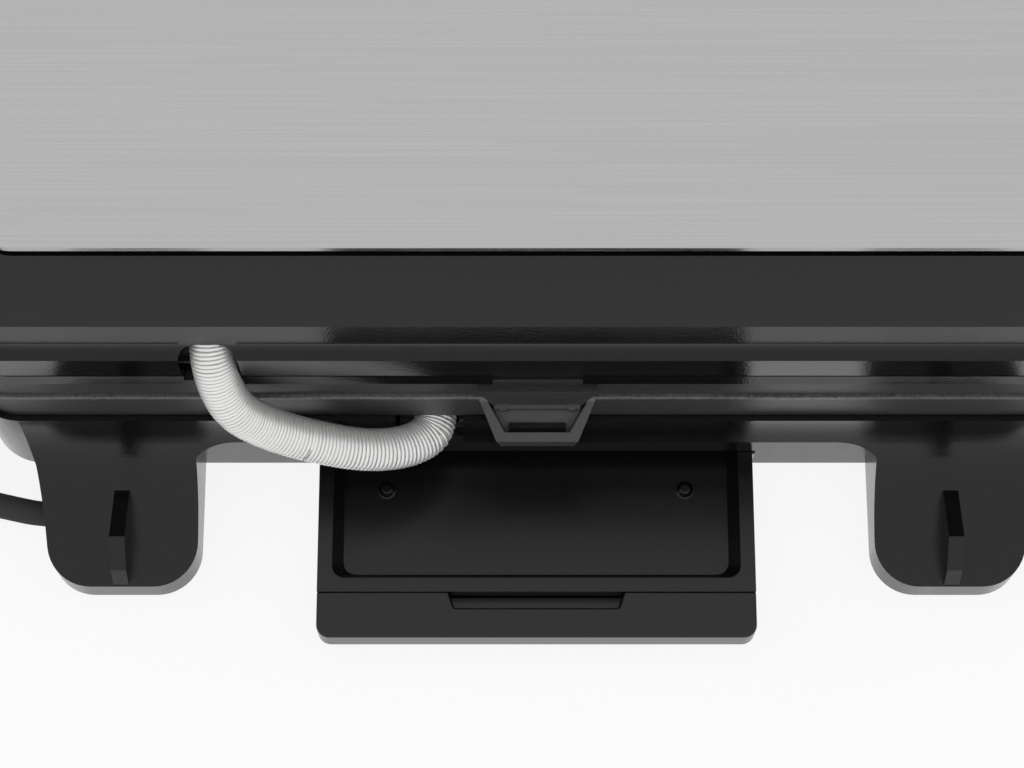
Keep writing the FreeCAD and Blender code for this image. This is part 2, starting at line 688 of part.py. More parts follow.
def draw_above_flare(sketch):
    """The space over the legs: the concave flare, and the slope of the toes."""
    beyond = TOE_BACK + s.toe_corner
    beyond_z = FLARE_END_Z - (beyond - FLARE_END_Y) * TOE_SLOPE
    over = s.rim_top + s.toe_corner
    start, finish = (s.wall_rear, s.rim_top), (FLARE_END_Y, FLARE_END_Z)
    arc = arc_in_outline(sketch, (FLARE_CENTRE_Y, s.rim_top), start, finish)
    slope = line_in_outline(sketch, finish, (beyond, beyond_z))
    back = line_in_outline(sketch, (beyond, beyond_z), (beyond, over))
    lid = line_in_outline(sketch, (beyond, over), (s.wall_rear, over))
    wall = line_in_outline(sketch, (s.wall_rear, over), start)
    join_points(sketch, ((arc, 2, slope, 1), (slope, 2, back, 1), (back, 2, lid, 1), (lid, 2, wall, 1),
                         (wall, 2, arc, 1)))
    hold_point(sketch, arc, 1, *start)
    hold(sketch, "DistanceX", slope, 1, FLARE_END_Y)
    hold_point(sketch, back, 1, beyond, beyond_z)
    hold_point(sketch, lid, 1, beyond, over)
    hold_point(sketch, wall, 1, s.wall_rear, over)


def draw_leg_space(sketch):
    """The hollow under a leg: the flare, one wall further down."""
    radius = s.flare_radius + s.leg_wall
    drop = radius * radius - s.flare_radius * s.flare_radius
    top = s.rim_top - root(drop)
    front = s.wall_rear
    start = (front, top)
    finish_y = FLARE_CENTRE_Y - radius * cosine(s.flare_turn)
    finish_z = s.rim_top - radius * sine(s.flare_turn)
    back_y = TOE_BACK - s.toe_solid
    back_z = finish_z - (back_y - finish_y) * TOE_SLOPE
    under = s.underside - s.leg_wall
    arc = arc_in_outline(sketch, (FLARE_CENTRE_Y, s.rim_top), start, (finish_y, finish_z))
    slope = line_in_outline(sketch, (finish_y, finish_z), (back_y, back_z))
    back = line_in_outline(sketch, (back_y, back_z), (back_y, under))
    floor = line_in_outline(sketch, (back_y, under), (front, under))
    wall = line_in_outline(sketch, (front, under), start)
    join_points(sketch, ((arc, 2, slope, 1), (slope, 2, back, 1), (back, 2, floor, 1), (floor, 2, wall, 1),
                         (wall, 2, arc, 1)))
    hold_point(sketch, arc, 1, *start)
    hold(sketch, "DistanceX", slope, 1, finish_y)
    hold_point(sketch, back, 1, back_y, back_z)
    hold_point(sketch, floor, 1, back_y, under)
    hold_point(sketch, wall, 1, front, under)


def draw_apron_opening(sketch):
    """The arch between the legs, with part-round corners."""
    centre_z = s.apron_height - s.apron_corner
    rise = s.apron_corner * s.apron_corner - s.apron_run * s.apron_run
    foot_z = centre_z + root(rise)
    under = s.underside - s.leg_wall
    right = arc_in_outline(sketch, (APRON_HALF, centre_z), (LEG_INNER, foot_z),
                           (APRON_HALF, s.apron_height))
    top = line_in_outline(sketch, (APRON_HALF, s.apron_height), (-APRON_HALF, s.apron_height))
    left = arc_in_outline(sketch, (-APRON_HALF, centre_z), (-APRON_HALF, s.apron_height),
                          (-LEG_INNER, foot_z))
    down = line_in_outline(sketch, (-LEG_INNER, foot_z), (-LEG_INNER, under))
    floor = line_in_outline(sketch, (-LEG_INNER, under), (LEG_INNER, under))
    up = line_in_outline(sketch, (LEG_INNER, under), (LEG_INNER, foot_z))
    join_points(sketch, ((right, 2, top, 1), (top, 2, left, 1), (left, 2, down, 1), (down, 2, floor, 1),
                         (floor, 2, up, 1), (up, 2, right, 1)))
    hold_point(sketch, top, 1, APRON_HALF, s.apron_height)
    hold_point(sketch, top, 2, -APRON_HALF, s.apron_height)
    hold(sketch, "DistanceX", down, 1, -LEG_INNER)
    hold_point(sketch, floor, 1, -LEG_INNER, under)
    hold_point(sketch, up, 1, LEG_INNER, under)
    hold(sketch, "DistanceX", up, 2, LEG_INNER)


BOSS_PLACES = [(across, along) for across in (-1, 1) for along in (-1, 1)]


def boss_points():
    """Plan points of the bottom cover's screws: two on each side, two in front."""
    side = s.body_half_width - s.boss_inset
    points = [(side * across, s.boss_side_row * along) for across, along in BOSS_PLACES]
    front = s.boss_inset - s.wall_front
    across = s.body_half_width - s.boss_front_inset
    points.append((-across, front))
    points.append((across, front))
    return points


def make_lower_housing():
    body = new_body("lower_housing")
    over = s.rim_top + s.leg_wall
    prism(body, "Pad", "bowl", "XY", s.underside, s.rim_top, ring_outline(0, s.corner_radius))
    inside = s.wall_rear - s.corner_radius

    def draw_flare_plan(sketch):
        turn = s.wall_rear + s.waist_reach
        polygon(sketch, ((-FLARE_HALF, inside), (FLARE_HALF, inside), (FLARE_HALF, s.wall_rear),
                         (WAIST_HALF, turn), (TOE_HALF, TOE_BACK), (-TOE_HALF, TOE_BACK),
                         (-WAIST_HALF, turn), (-FLARE_HALF, s.wall_rear)))

    prism(body, "Pad", "flare", "XY", s.underside, s.rim_top, draw_flare_plan)
    half = FLARE_HALF + s.leg_wall
    prism(body, "Pocket", "flare_top", "YZ", -half, half, draw_above_flare)
    prism(body, "Pocket", "apron_opening", "XZ", s.wall_rear, TOE_BACK + s.leg_wall, draw_apron_opening)
    toes = [(side * half_width.value, TOE_BACK.value) for side in (-1, 1)
            for half_width in (TOE_HALF, LEG_INNER)]
    round_edges(body, "Fillet", "toe_corners", "Radius", s.toe_corner,
                lambda edge: is_upright_at(edge, toes))
    for side, name in ((-1, "right"), (1, "left")):
        near = LEG_INNER + s.leg_wall
        far = TOE_HALF - s.leg_side_wall
        low, high = (near, far) if side > 0 else (-far, -near)
        prism(body, "Pocket", f"leg_space_{name}", "YZ", low, high, draw_leg_space)

    def draw_fin(sketch):
        start = s.wall_rear + s.fin_start
        root = s.leg_wall
        sink = flare_height(s.fin_start)
        polygon(sketch, ((start, sink), (s.wall_rear + s.fin_peak, s.fin_peak_height),
                         (s.wall_rear + s.fin_shoulder, s.fin_shoulder_height),
                         (s.wall_rear + s.fin_end, flare_height(s.fin_end)),
                         (s.wall_rear + s.fin_end, flare_height(s.fin_end) - root),
                         (s.wall_rear + s.fin_peak, flare_height(s.fin_peak) - root),
                         (start, sink - root)))

    for side, name in ((-1, "right"), (1, "left")):
        middle = FIN_PLACE * side
        prism(body, "Pad", f"fin_{name}", "YZ", middle - s.fin_width / 2, middle + s.fin_width / 2, draw_fin)
    prism(body, "Pocket", "inner_space", "XY", s.underside - s.leg_wall, s.plate_seat - s.ledge_height,
          ring_outline(s.shell_wall, s.corner_radius - s.shell_wall))
    prism(body, "Pocket", "ledge_space", "XY", s.plate_seat - s.ledge_height, s.plate_seat,
          ring_outline(s.ledge_depth, s.corner_radius - s.ledge_depth))
    prism(body, "Pocket", "plate_space", "XY", s.plate_seat, over,
          ring_outline(s.rim_lip, s.corner_radius - s.rim_lip))

    def draw_bosses(sketch):
        for x, y in boss_points():
            circle(sketch, x, y, s.boss_radius)

    prism(body, "Pad", "screw_bosses", "XY", s.underside + s.cover_thickness, s.boss_top, draw_bosses)

    def draw_boss_bores(sketch):
        for x, y in boss_points():
            circle(sketch, x, y, s.screw_radius)

    prism(body, "Pocket", "boss_bores", "XY", s.underside, s.boss_top - s.shell_wall, draw_boss_bores)
    tray_slot = s.tray_half_width + s.tray_gap
    slot_top = s.tray_bottom + s.tray_height + s.tray_gap
    prism(body, "Pocket", "tray_slot", "XZ", s.wall_rear - s.ledge_depth, s.wall_rear + s.shell_wall,
          box_outline(-tray_slot, tray_slot, s.underside - s.leg_wall, slot_top))
    left = s.conduit_notch_place - s.conduit_notch_half
    right = s.conduit_notch_place + s.conduit_notch_half
    prism(body, "Pocket", "conduit_notch", "XZ", s.wall_rear - s.corner_radius, TOE_BACK,
          box_outline(left, right, s.conduit_notch_floor, s.plate_seat))
    prism(body, "Pocket", "conduit_notch_mouth", "XZ", s.wall_rear - s.rim_lip * 2, TOE_BACK,
          box_outline(left, right, s.plate_seat - s.rim_lip, over))
    prism(body, "Pocket", "cord_notch", "YZ", TOE_HALF - s.leg_wall * 3, FLARE_HALF + s.leg_wall,
          box_outline(s.cord_line - s.cord_hole_half, s.cord_line + s.cord_hole_half,
                      s.underside - s.leg_wall, s.cord_hole_top))
    prism(body, "Pocket", "lead_hole", "XZ", s.wall_rear - s.leg_wall * 2, s.wall_rear + s.leg_wall,
          lambda sketch: circle(sketch, RELIEF_ROOT - s.gland_width / 2, s.cord_level, s.lead_radius * 1.5))

    def draw_front_holes(sketch):
        circle(sketch, 0, s.knob_level, s.spindle_radius + s.spindle_gap)
        circle(sketch, -s.lamp_place, s.knob_level, s.lamp_radius)
        circle(sketch, s.lamp_place, s.knob_level, s.lamp_radius)

    prism(body, "Pocket", "front_holes", "XZ", -s.wall_front - s.leg_wall, s.leg_wall * 2 - s.wall_front,
          draw_front_holes)
    node(body, "lower_housing")


make_lower_housing()


# ---------------------------------------------------------------- bottom cover and feet

COVER_TOP = s.underside + s.cover_thickness


def make_bottom_cover():
    inset = s.shell_wall + s.cover_clearance
    body = new_body("bottom_cover")
    prism(body, "Pad", "sheet", "XY", s.underside, COVER_TOP, ring_outline(inset, s.corner_radius - inset))

    def draw_holes(sketch):
        for x, y in boss_points():
            circle(sketch, x, y, s.screw_radius)

    prism(body, "Pocket", "screw_holes", "XY", s.underside - 1, COVER_TOP, draw_holes)

    def draw_vents(sketch):
        for side in (-1, 1):
            for index in range(int(s.vent_count.value)):
                low = s.vent_pitch * index - s.vent_pitch * s.vent_count / 2
                middle = POST_WIDE * side
                left, right = middle - s.vent_length / 2, middle + s.vent_length / 2
                polygon(sketch, ((left, low), (right, low), (right, low + s.vent_width),
                                 (left, low + s.vent_width)))

    prism(body, "Pocket", "vents", "XY", s.underside - 1, COVER_TOP, draw_vents)
    node(body, "bottom_cover")

    screws = []
    for number, (x, y) in enumerate(boss_points(), start=1):
        head = rod(f"cover_screw_head_{number}", "Z", x, y, s.underside - s.screw_head_height,
                   s.screw_head_radius, s.screw_head_height)
        shank = rod(f"cover_screw_shank_{number}", "Z", x, y, s.underside, s.screw_radius,
                    s.cover_thickness + s.boss_radius * 3)
        screws.append(join(f"cover_screw_{number}", [head, shank]))
    node(group("cover_screw_group", screws), "bottom_cover_screws")


def make_feet():
    feet = []
    for side in (-1, 1):
        pad = rod(f"front_foot_{side + 2}", "Z", (s.body_half_width - s.foot_side_inset) * side,
                  s.foot_front_inset - s.wall_front, 0, s.foot_radius, s.underside)
        feet.append(pad)
        middle = (LEG_INNER + TOE_HALF) / 2 * side
        back = TOE_BACK - s.toe_foot_gap
        pad = block(f"toe_foot_{side + 2}", middle - s.toe_foot_length / 2, middle + s.toe_foot_length / 2,
                    back - s.toe_foot_depth, back, 0, s.underside)
        feet.append(pad)
    node(group("foot_group", feet), "rubber_feet")


# ---------------------------------------------------------------- tray bay and drip tray

TRAY_TOP = s.tray_bottom + s.tray_height
BAY_HALF = s.tray_half_width + s.tray_gap
BAY_TOP = TRAY_TOP + s.tray_gap


def make_tray_bay():
    body = new_body("tray_bay")
    out = BAY_HALF + s.bay_wall
    back = s.wall_rear - s.shell_wall
    prism(body, "Pad", "channel", "XY", COVER_TOP, BAY_TOP + s.bay_wall,
          box_outline(-out, out, s.bay_front - s.bay_wall, back))
    prism(body, "Pocket", "channel_space", "XY", COVER_TOP - 1, BAY_TOP,
          box_outline(-BAY_HALF, BAY_HALF, s.bay_front, back + s.bay_wall))
    node(body, "tray_bay")


def make_drip_tray():
    body = new_body("drip_tray")
    half = s.tray_half_width
    front = s.tray_seam - s.tray_length
    prism(body, "Pad", "pan", "XY", s.tray_bottom, TRAY_TOP, box_outline(-half, half, front, s.tray_seam))
    floor = s.tray_bottom + s.tray_floor
    corner = s.tray_well_corner

    def draw_well(inset):
        return lambda sketch: rounded_rectangle(sketch, inset - half, half - inset, front + inset,
                                                s.tray_seam - inset, corner)

    loft(body, "SubtractiveLoft", "well", "XY",
         ((floor, draw_well(s.tray_rim + s.tray_draft)), (TRAY_TOP, draw_well(s.tray_rim))))
    bumps = [body]
    for side in (-1, 1):
        bump = cone(f"stop_bump_{side + 2}", "Z", s.bump_place * side, s.tray_seam - s.bump_back, floor,
                    s.bump_radius, s.bump_top_radius, s.bump_height)
        bumps.append(bump)
    node(join("drip_tray_whole", bumps), "drip_tray")


def make_tray_front():
    body = new_body("tray_front")
    half = s.tray_half_width
    back = s.tray_seam + s.front_depth
    prism(body, "Pad", "bar", "XY", s.tray_bottom, TRAY_TOP, box_outline(-half, half, s.tray_seam, back))
    corners = [(side * half.value, back.value) for side in (-1, 1)]
    round_edges(body, "Fillet", "bar_corners", "Radius", s.front_corner,
                lambda edge: is_upright_at(edge, corners))
    top = TRAY_TOP.value
    seam = s.tray_seam.value
    round_edges(body, "Fillet", "bar_top", "Radius", s.front_edge,
                lambda edge: edge.BoundBox.ZMin > top - 0.01 and edge.BoundBox.YMax > seam + 1)

    def draw_grip(sketch):
        finish = s.tray_seam + s.grip_depth
        polygon(sketch, ((-s.grip_half_seam, s.tray_seam), (s.grip_half_seam, s.tray_seam),
                         (s.grip_half_rear, finish), (-s.grip_half_rear, finish)))

    prism(body, "Pocket", "finger_recess", "XY", s.grip_floor, TRAY_TOP + 1, draw_grip)
    node(body, "drip_tray_front")


# ---------------------------------------------------------------- grill plates

LOWER_PLATE_CORNER = s.corner_radius - s.plate_gap
UPPER_PLATE_GAP = s.plate_gap + s.upper_plate_inset
UPPER_PLATE_CORNER = s.corner_radius - UPPER_PLATE_GAP
UPPER_BOTTOM = s.plate_top + s.parting_gap
LOWER_SURFACE = s.plate_top - s.plate_recess
UPPER_SURFACE = UPPER_BOTTOM + s.plate_recess
LOWER_FLOOR = LOWER_SURFACE - s.plate_floor
UPPER_CEILING = UPPER_SURFACE + s.plate_floor
CUTOUT_LEVEL = s.head_bottom + s.rim_band + s.reflector_sheet + s.cutout_height / 2
POSTS = [(across, along) for across in (-1, 1) for along in (-1, 1)]


def draw_posts(radius):
    def draw(sketch):
        for across, along in POSTS:
            circle(sketch, POST_WIDE * across, s.post_deep * along, radius)
    return draw


def add_ribs(body, low, high, inset):
    """One rib from front to back, repeated across the plate."""
    end = inset + s.plate_land + s.rib_end_gap
    room = s.body_half_width - s.plate_gap - s.plate_land - s.rib_side_gap - s.rib_width / 2
    to_side = whole_number(room / s.rib_pitch)
    first = -s.rib_pitch * to_side
    left, right = first - s.rib_width / 2, first + s.rib_width / 2
    rib = prism(body, "Pad", "rib", "XY", low, high,
                box_outline(left, right, end - s.wall_front, s.wall_rear - end))
    DOC.recompute()
    pattern = body.newObject("PartDesign::LinearPattern", "ribs")
    pattern.Originals = [rib]
    support = [item for item in body.Origin.OriginFeatures if item.Role == "X_Axis"][0]
    pattern.Direction = (support, [""])
    bind(pattern, "Length", s.rib_pitch * to_side * 2)
    bind(pattern, "Occurrences", to_side * 2 + 1)
    body.Tip = pattern


def trapezoid(half_low, low, half_high, high):
    def draw(sketch):
        polygon(sketch, ((-half_low, low), (half_low, low), (half_high, high), (-half_high, high)))
    return draw


def make_lower_plate():
    body = new_body("lower_grill_plate")
    back = s.wall_rear - s.plate_gap
    prism(body, "Pad", "casting", "XY", s.plate_seat, s.plate_top,
          ring_outline(s.plate_gap, LOWER_PLATE_CORNER))
    inset = s.plate_gap + s.plate_skirt
    prism(body, "Pocket", "underside", "XY", s.plate_seat - 1, LOWER_FLOOR,
          ring_outline(inset, s.corner_radius - inset))
    inset = s.plate_gap + s.plate_land
    prism(body, "Pocket", "cooking_well", "XY", LOWER_SURFACE, s.plate_top + 1,
          ring_outline(inset, s.corner_radius - inset))
    tip = back + s.spout_reach
    spout_root = trapezoid(s.spout_base_half, s.spout_floor, s.spout_top_half, s.plate_top)
    spout_tip = trapezoid(s.spout_tip_base_half, s.spout_floor, s.spout_tip_half, s.spout_tip_top)
    loft(body, "AdditiveLoft", "spout", "XZ", ((back - s.plate_skirt / 2, spout_root), (tip, spout_tip)))
    wall = s.spout_wall
    inside = back - s.plate_land
    lean = (s.spout_top_half - s.spout_base_half) / (s.plate_top - s.spout_floor)
    inner_base = s.spout_base_half + lean * (LOWER_SURFACE - s.spout_floor) - wall
    mouth = trapezoid(inner_base, LOWER_SURFACE, s.spout_top_half - wall, s.plate_top + 1)
    prism(body, "Pocket", "spout_mouth", "XZ", inside - 1, inside, mouth)
    middle = back + s.spout_wall / 2
    drop = s.spout_wall
    narrow = s.spout_wall / 2
    throat = trapezoid(inner_base - narrow, LOWER_SURFACE - drop, s.spout_top_half - wall - narrow / 2,
                       s.plate_top + 1)
    loft(body, "SubtractiveLoft", "spout_throat", "XZ", ((inside, mouth), (middle, throat)))
    tip_channel = trapezoid(s.spout_tip_base_half - wall, s.spout_floor + wall, s.spout_tip_half - wall,
                            s.spout_tip_top + wall)
    loft(body, "SubtractiveLoft", "spout_channel", "XZ", ((middle, throat), (tip - wall, tip_channel)))
    prism(body, "Pocket", "spout_exit", "XY", s.spout_floor - 1, s.spout_floor + wall * 2,
          box_outline(wall - s.spout_tip_base_half, s.spout_tip_base_half - wall,
                      tip - wall * 2.4, tip - wall))
    prism(body, "Pad", "posts", "XY", s.plate_seat + s.reflector_sheet, LOWER_FLOOR,
          draw_posts(s.post_radius))
    prism(body, "Pocket", "post_bores", "XY", s.plate_seat, LOWER_FLOOR - 1, draw_posts(s.screw_radius))
    add_ribs(body, LOWER_SURFACE, LOWER_SURFACE + s.rib_height, s.plate_gap)
    node(body, "lower_grill_plate")


def make_upper_plate():
    body = new_body("upper_grill_plate")
    back = s.wall_rear - UPPER_PLATE_GAP
    prism(body, "Pad", "casting", "XY", UPPER_BOTTOM, s.head_bottom,
          ring_outline(UPPER_PLATE_GAP, UPPER_PLATE_CORNER))
    inset = UPPER_PLATE_GAP + s.plate_skirt
    prism(body, "Pocket", "back_side", "XY", UPPER_CEILING, s.head_bottom + 1,
          ring_outline(inset, s.corner_radius - inset))
    inset = UPPER_PLATE_GAP + s.plate_land
    prism(body, "Pocket", "cooking_well", "XY", UPPER_BOTTOM - 1, UPPER_SURFACE,
          ring_outline(inset, s.corner_radius - inset))
    high = s.head_bottom - s.plate_skirt
    prism(body, "Pad", "lip", "XZ", back - s.plate_skirt, back + s.lip_reach,
          trapezoid(s.lip_foot_half, s.lip_foot, s.lip_top_half, high))
    prism(body, "Pad", "posts", "XY", UPPER_CEILING, s.head_bottom + s.rim_band, draw_posts(s.post_radius))
    prism(body, "Pocket", "post_bores", "XY", UPPER_CEILING + 1, s.head_bottom + s.rim_band + 1,
          draw_posts(s.screw_radius))
    add_ribs(body, UPPER_SURFACE - s.rib_height, UPPER_SURFACE, UPPER_PLATE_GAP)
    bar_y = back + s.lip_reach - s.lip_bar_radius / 2
    bar = rod("lip_bar", "X", -s.lip_foot_half, bar_y, s.lip_foot, s.lip_bar_radius, s.lip_foot_half * 2)
    parts = [body, bar]
    for side in (-1, 1):
        lump = DOC.addObject("Part::Sphere", f"lip_lump_{side + 2}")
        bind(lump, "Radius", s.lip_lump_radius)
        place(lump, (s.lip_foot_half - s.lip_lump_radius) * side, bar_y, s.lip_foot)
        parts.append(lump)
    node(join("upper_plate_whole", parts), "upper_grill_plate")


def element_route(level):
    """A loop of heating element with both ends in the middle of its back run."""
    wide, gap = s.body_half_width - s.element_side_inset, s.element_open
    back, front = s.wall_rear - s.element_back_inset, s.element_front_inset - s.wall_front
    return ((gap, back, level), (wide, back, level), (wide, front, level), (-wide, front, level),
            (-wide, back, level), (-gap, back, level))


def make_elements():
    level = LOWER_FLOOR - s.element_radius
    lower = tube("lower_element", element_route(level), s.element_radius, s.element_bend.value)
    node(lower, "lower_heating_element")
    level = UPPER_CEILING + s.element_radius
    upper = tube("upper_element", element_route(level), s.element_radius, s.element_bend.value)
    node(upper, "upper_heating_element")


def make_reflectors():
    inset = s.plate_gap + s.plate_skirt + s.reflector_gap
    body = new_body("lower_reflector")
    prism(body, "Pad", "sheet", "XY", s.plate_seat, s.plate_seat + s.reflector_sheet,
          ring_outline(inset, s.corner_radius - inset))
    prism(body, "Pocket", "screw_holes", "XY", s.plate_seat - 1, s.plate_seat + s.reflector_sheet,
          draw_posts(s.screw_radius))
    node(body, "lower_reflector")

    top = s.head_bottom + s.rim_band
    inset = s.head_cavity_inset + s.reflector_gap
    body = new_body("upper_reflector")
    prism(body, "Pad", "sheet", "XY", top, top + s.reflector_sheet,
          ring_outline(inset, s.corner_radius - inset))
    prism(body, "Pocket", "screw_holes", "XY", top - 1, top + s.reflector_sheet, draw_posts(s.screw_radius))
    node(body, "upper_reflector")

    lower, upper = [], []
    for number, (across, along) in enumerate(POSTS, start=1):
        x, y = POST_WIDE * across, s.post_deep * along
        head = rod(f"lower_plate_screw_head_{number}", "Z", x, y, s.plate_seat - s.screw_head_height,
                   s.screw_head_radius, s.screw_head_height)
        shank = rod(f"lower_plate_screw_shank_{number}", "Z", x, y, s.plate_seat, s.screw_radius,
                    s.reflector_sheet + s.post_radius)
        lower.append(join(f"lower_plate_screw_{number}", [head, shank]))
        sheet_top = top + s.reflector_sheet
        head = rod(f"upper_plate_screw_head_{number}", "Z", x, y, sheet_top, s.screw_head_radius,
                   s.screw_head_height)
        shank = rod(f"upper_plate_screw_shank_{number}", "Z", x, y, top - s.post_radius, s.screw_radius,
                    s.reflector_sheet + s.post_radius)
        upper.append(join(f"upper_plate_screw_{number}", [head, shank]))
    node(group("lower_plate_screw_group", lower), "lower_plate_screws")
    node(group("upper_plate_screw_group", upper), "upper_plate_screws")
    cutout = rod("cutout_case", "Z", -s.element_open, 0, top + s.reflector_sheet, s.cutout_radius,
                 s.cutout_height)
    node(cutout, "thermal_cutout")


# ---------------------------------------------------------------- upper housing and lid cover

GROOVE_LOW = s.head_bottom + s.rim_band
TIER_LOW = GROOVE_LOW + s.groove_band
COVE_LOW = TIER_LOW + s.tier_band
UPRIGHT_TILT = slope_angle(s.cove_lean, s.cove_upright)
COVE_RISE = s.cove_radius * (sine(s.cove_tilt) - sine(UPRIGHT_TILT))
COVE_RUN = s.cove_radius * (cosine(UPRIGHT_TILT) - cosine(s.cove_tilt))
UPRIGHT_LOW = COVE_LOW + COVE_RISE
FASCIA_LOW = UPRIGHT_LOW + s.cove_upright
NECK_LOW = FASCIA_LOW + s.fascia_band
HEAD_TOP = NECK_LOW + s.neck_band
FASCIA_INSET = s.tier_inset + COVE_RUN + s.cove_lean
NECK_INSET = FASCIA_INSET + s.fascia_lean
COVE_STEPS = 6


def cove_sections():
    """Outlines up the cove: an arc from its tilted lower end to the band over it."""
    sections = []
    for step in range(COVE_STEPS + 1):
        tilt = s.cove_tilt + (UPRIGHT_TILT - s.cove_tilt) * step / COVE_STEPS
        level = COVE_LOW + s.cove_radius * (sine(s.cove_tilt) - sine(tilt))
        inset = s.tier_inset + s.cove_radius * (cosine(tilt) - cosine(s.cove_tilt))
        sections.append((level, ring_outline(inset, s.corner_radius)))
    return sections


def make_upper_housing():
    body = new_body("upper_housing")
    corner = s.corner_radius
    loft(body, "AdditiveLoft", "rim", "XY",
         ((s.head_bottom, ring_outline(s.rim_inset, corner)),
          (GROOVE_LOW, ring_outline(s.rim_inset + s.rim_lean, corner))))
    prism(body, "Pad", "groove", "XY", GROOVE_LOW, TIER_LOW, ring_outline(s.groove_inset, corner))
    prism(body, "Pad", "tier", "XY", TIER_LOW, COVE_LOW, ring_outline(s.tier_inset, corner))
    loft(body, "AdditiveLoft", "cove", "XY", cove_sections())
    loft(body, "AdditiveLoft", "cove_upright", "XY",
         ((UPRIGHT_LOW, ring_outline(s.tier_inset + COVE_RUN, corner)),
          (FASCIA_LOW, ring_outline(FASCIA_INSET, corner))))
    loft(body, "AdditiveLoft", "fascia", "XY",
         ((FASCIA_LOW, ring_outline(FASCIA_INSET, corner)),
          (NECK_LOW, ring_outline(NECK_INSET, s.fascia_top_corner))))
    prism(body, "Pad", "neck", "XY", NECK_LOW, HEAD_TOP,
          ring_outline(NECK_INSET + s.neck_inset, s.fascia_top_corner - s.neck_inset))
    wall = s.shell_wall
    inner = corner - s.head_cavity_inset
    prism(body, "Pocket", "rim_space", "XY", s.head_bottom - 1, COVE_LOW - wall,
          ring_outline(s.head_cavity_inset, inner))
    behind_cove = ring_outline(s.tier_inset + COVE_RUN + wall, inner)
    loft(body, "SubtractiveLoft", "cove_space", "XY",
         ((COVE_LOW - wall, ring_outline(s.head_cavity_inset, inner)), (UPRIGHT_LOW, behind_cove)))
    loft(body, "SubtractiveLoft", "upright_space", "XY",
         ((UPRIGHT_LOW, behind_cove), (FASCIA_LOW, ring_outline(FASCIA_INSET + wall, inner))))
    loft(body, "SubtractiveLoft", "fascia_space", "XY",
         ((FASCIA_LOW, ring_outline(FASCIA_INSET + wall, inner)),
          (HEAD_TOP - s.deck_thickness,
           ring_outline(NECK_INSET + s.neck_inset + wall, s.fascia_top_corner - s.neck_inset - wall))))
    left = s.upper_notch_place - s.upper_notch_half
    right = s.upper_notch_place + s.upper_notch_half
    under = s.head_bottom - s.upper_notch_corner * 2
    prism(body, "Pocket", "conduit_notch", "XZ", s.wall_rear - s.corner_radius, s.wall_rear + 1,
          lambda sketch: rounded_rectangle(sketch, left, right, under, s.upper_notch_top,
                                           s.upper_notch_corner))
    prism(body, "Pocket", "spout_notch", "XZ", s.wall_rear - s.groove_inset, s.wall_rear + 1,
          box_outline(-s.spout_notch_half, s.spout_notch_half, s.head_bottom - 1, GROOVE_LOW))

    def draw_screw_holes(sketch):
        for side in (-1, 1):
            circle(sketch, s.bracket_place * side, s.grip_level, s.screw_radius)

    prism(body, "Pocket", "handle_screw_holes", "XZ", -s.wall_front,
          s.corner_radius - s.wall_front + FASCIA_INSET, draw_screw_holes)
    node(body, "upper_housing")


def make_lid_cover():
    body = new_body("lid_cover")
    inset = NECK_INSET + s.cover_outset
    corner = s.fascia_top_corner
    top = HEAD_TOP + s.cover_height
    prism(body, "Pad", "sheet", "XY", HEAD_TOP, top, ring_outline(inset, corner))
    high = top.value
    round_edges(body, "Fillet", "rolled_edge", "Radius", s.cover_edge,
                lambda edge: edge.BoundBox.ZMin > high - 0.01)
    inset = inset + s.cover_sheet + s.cover_edge / 2
    prism(body, "Pocket", "hollow", "XY", HEAD_TOP - 1, top - s.cover_sheet * 2,
          ring_outline(inset, corner - s.cover_sheet * 2))
    node(body, "lid_cover")


# ---------------------------------------------------------------- handle

def fascia_front(level):
    """Where the sloping front of the upper housing stands at a height."""
    return FASCIA_INSET - s.wall_front + (level - FASCIA_LOW) * s.fascia_lean / s.fascia_band


def fascia_inside(level):
    """Where the inner face of that front stands at a height."""
    lean = (s.fascia_lean + s.neck_inset) / (HEAD_TOP - s.deck_thickness - FASCIA_LOW)
    return FASCIA_INSET + s.shell_wall - s.wall_front + (level - FASCIA_LOW) * lean


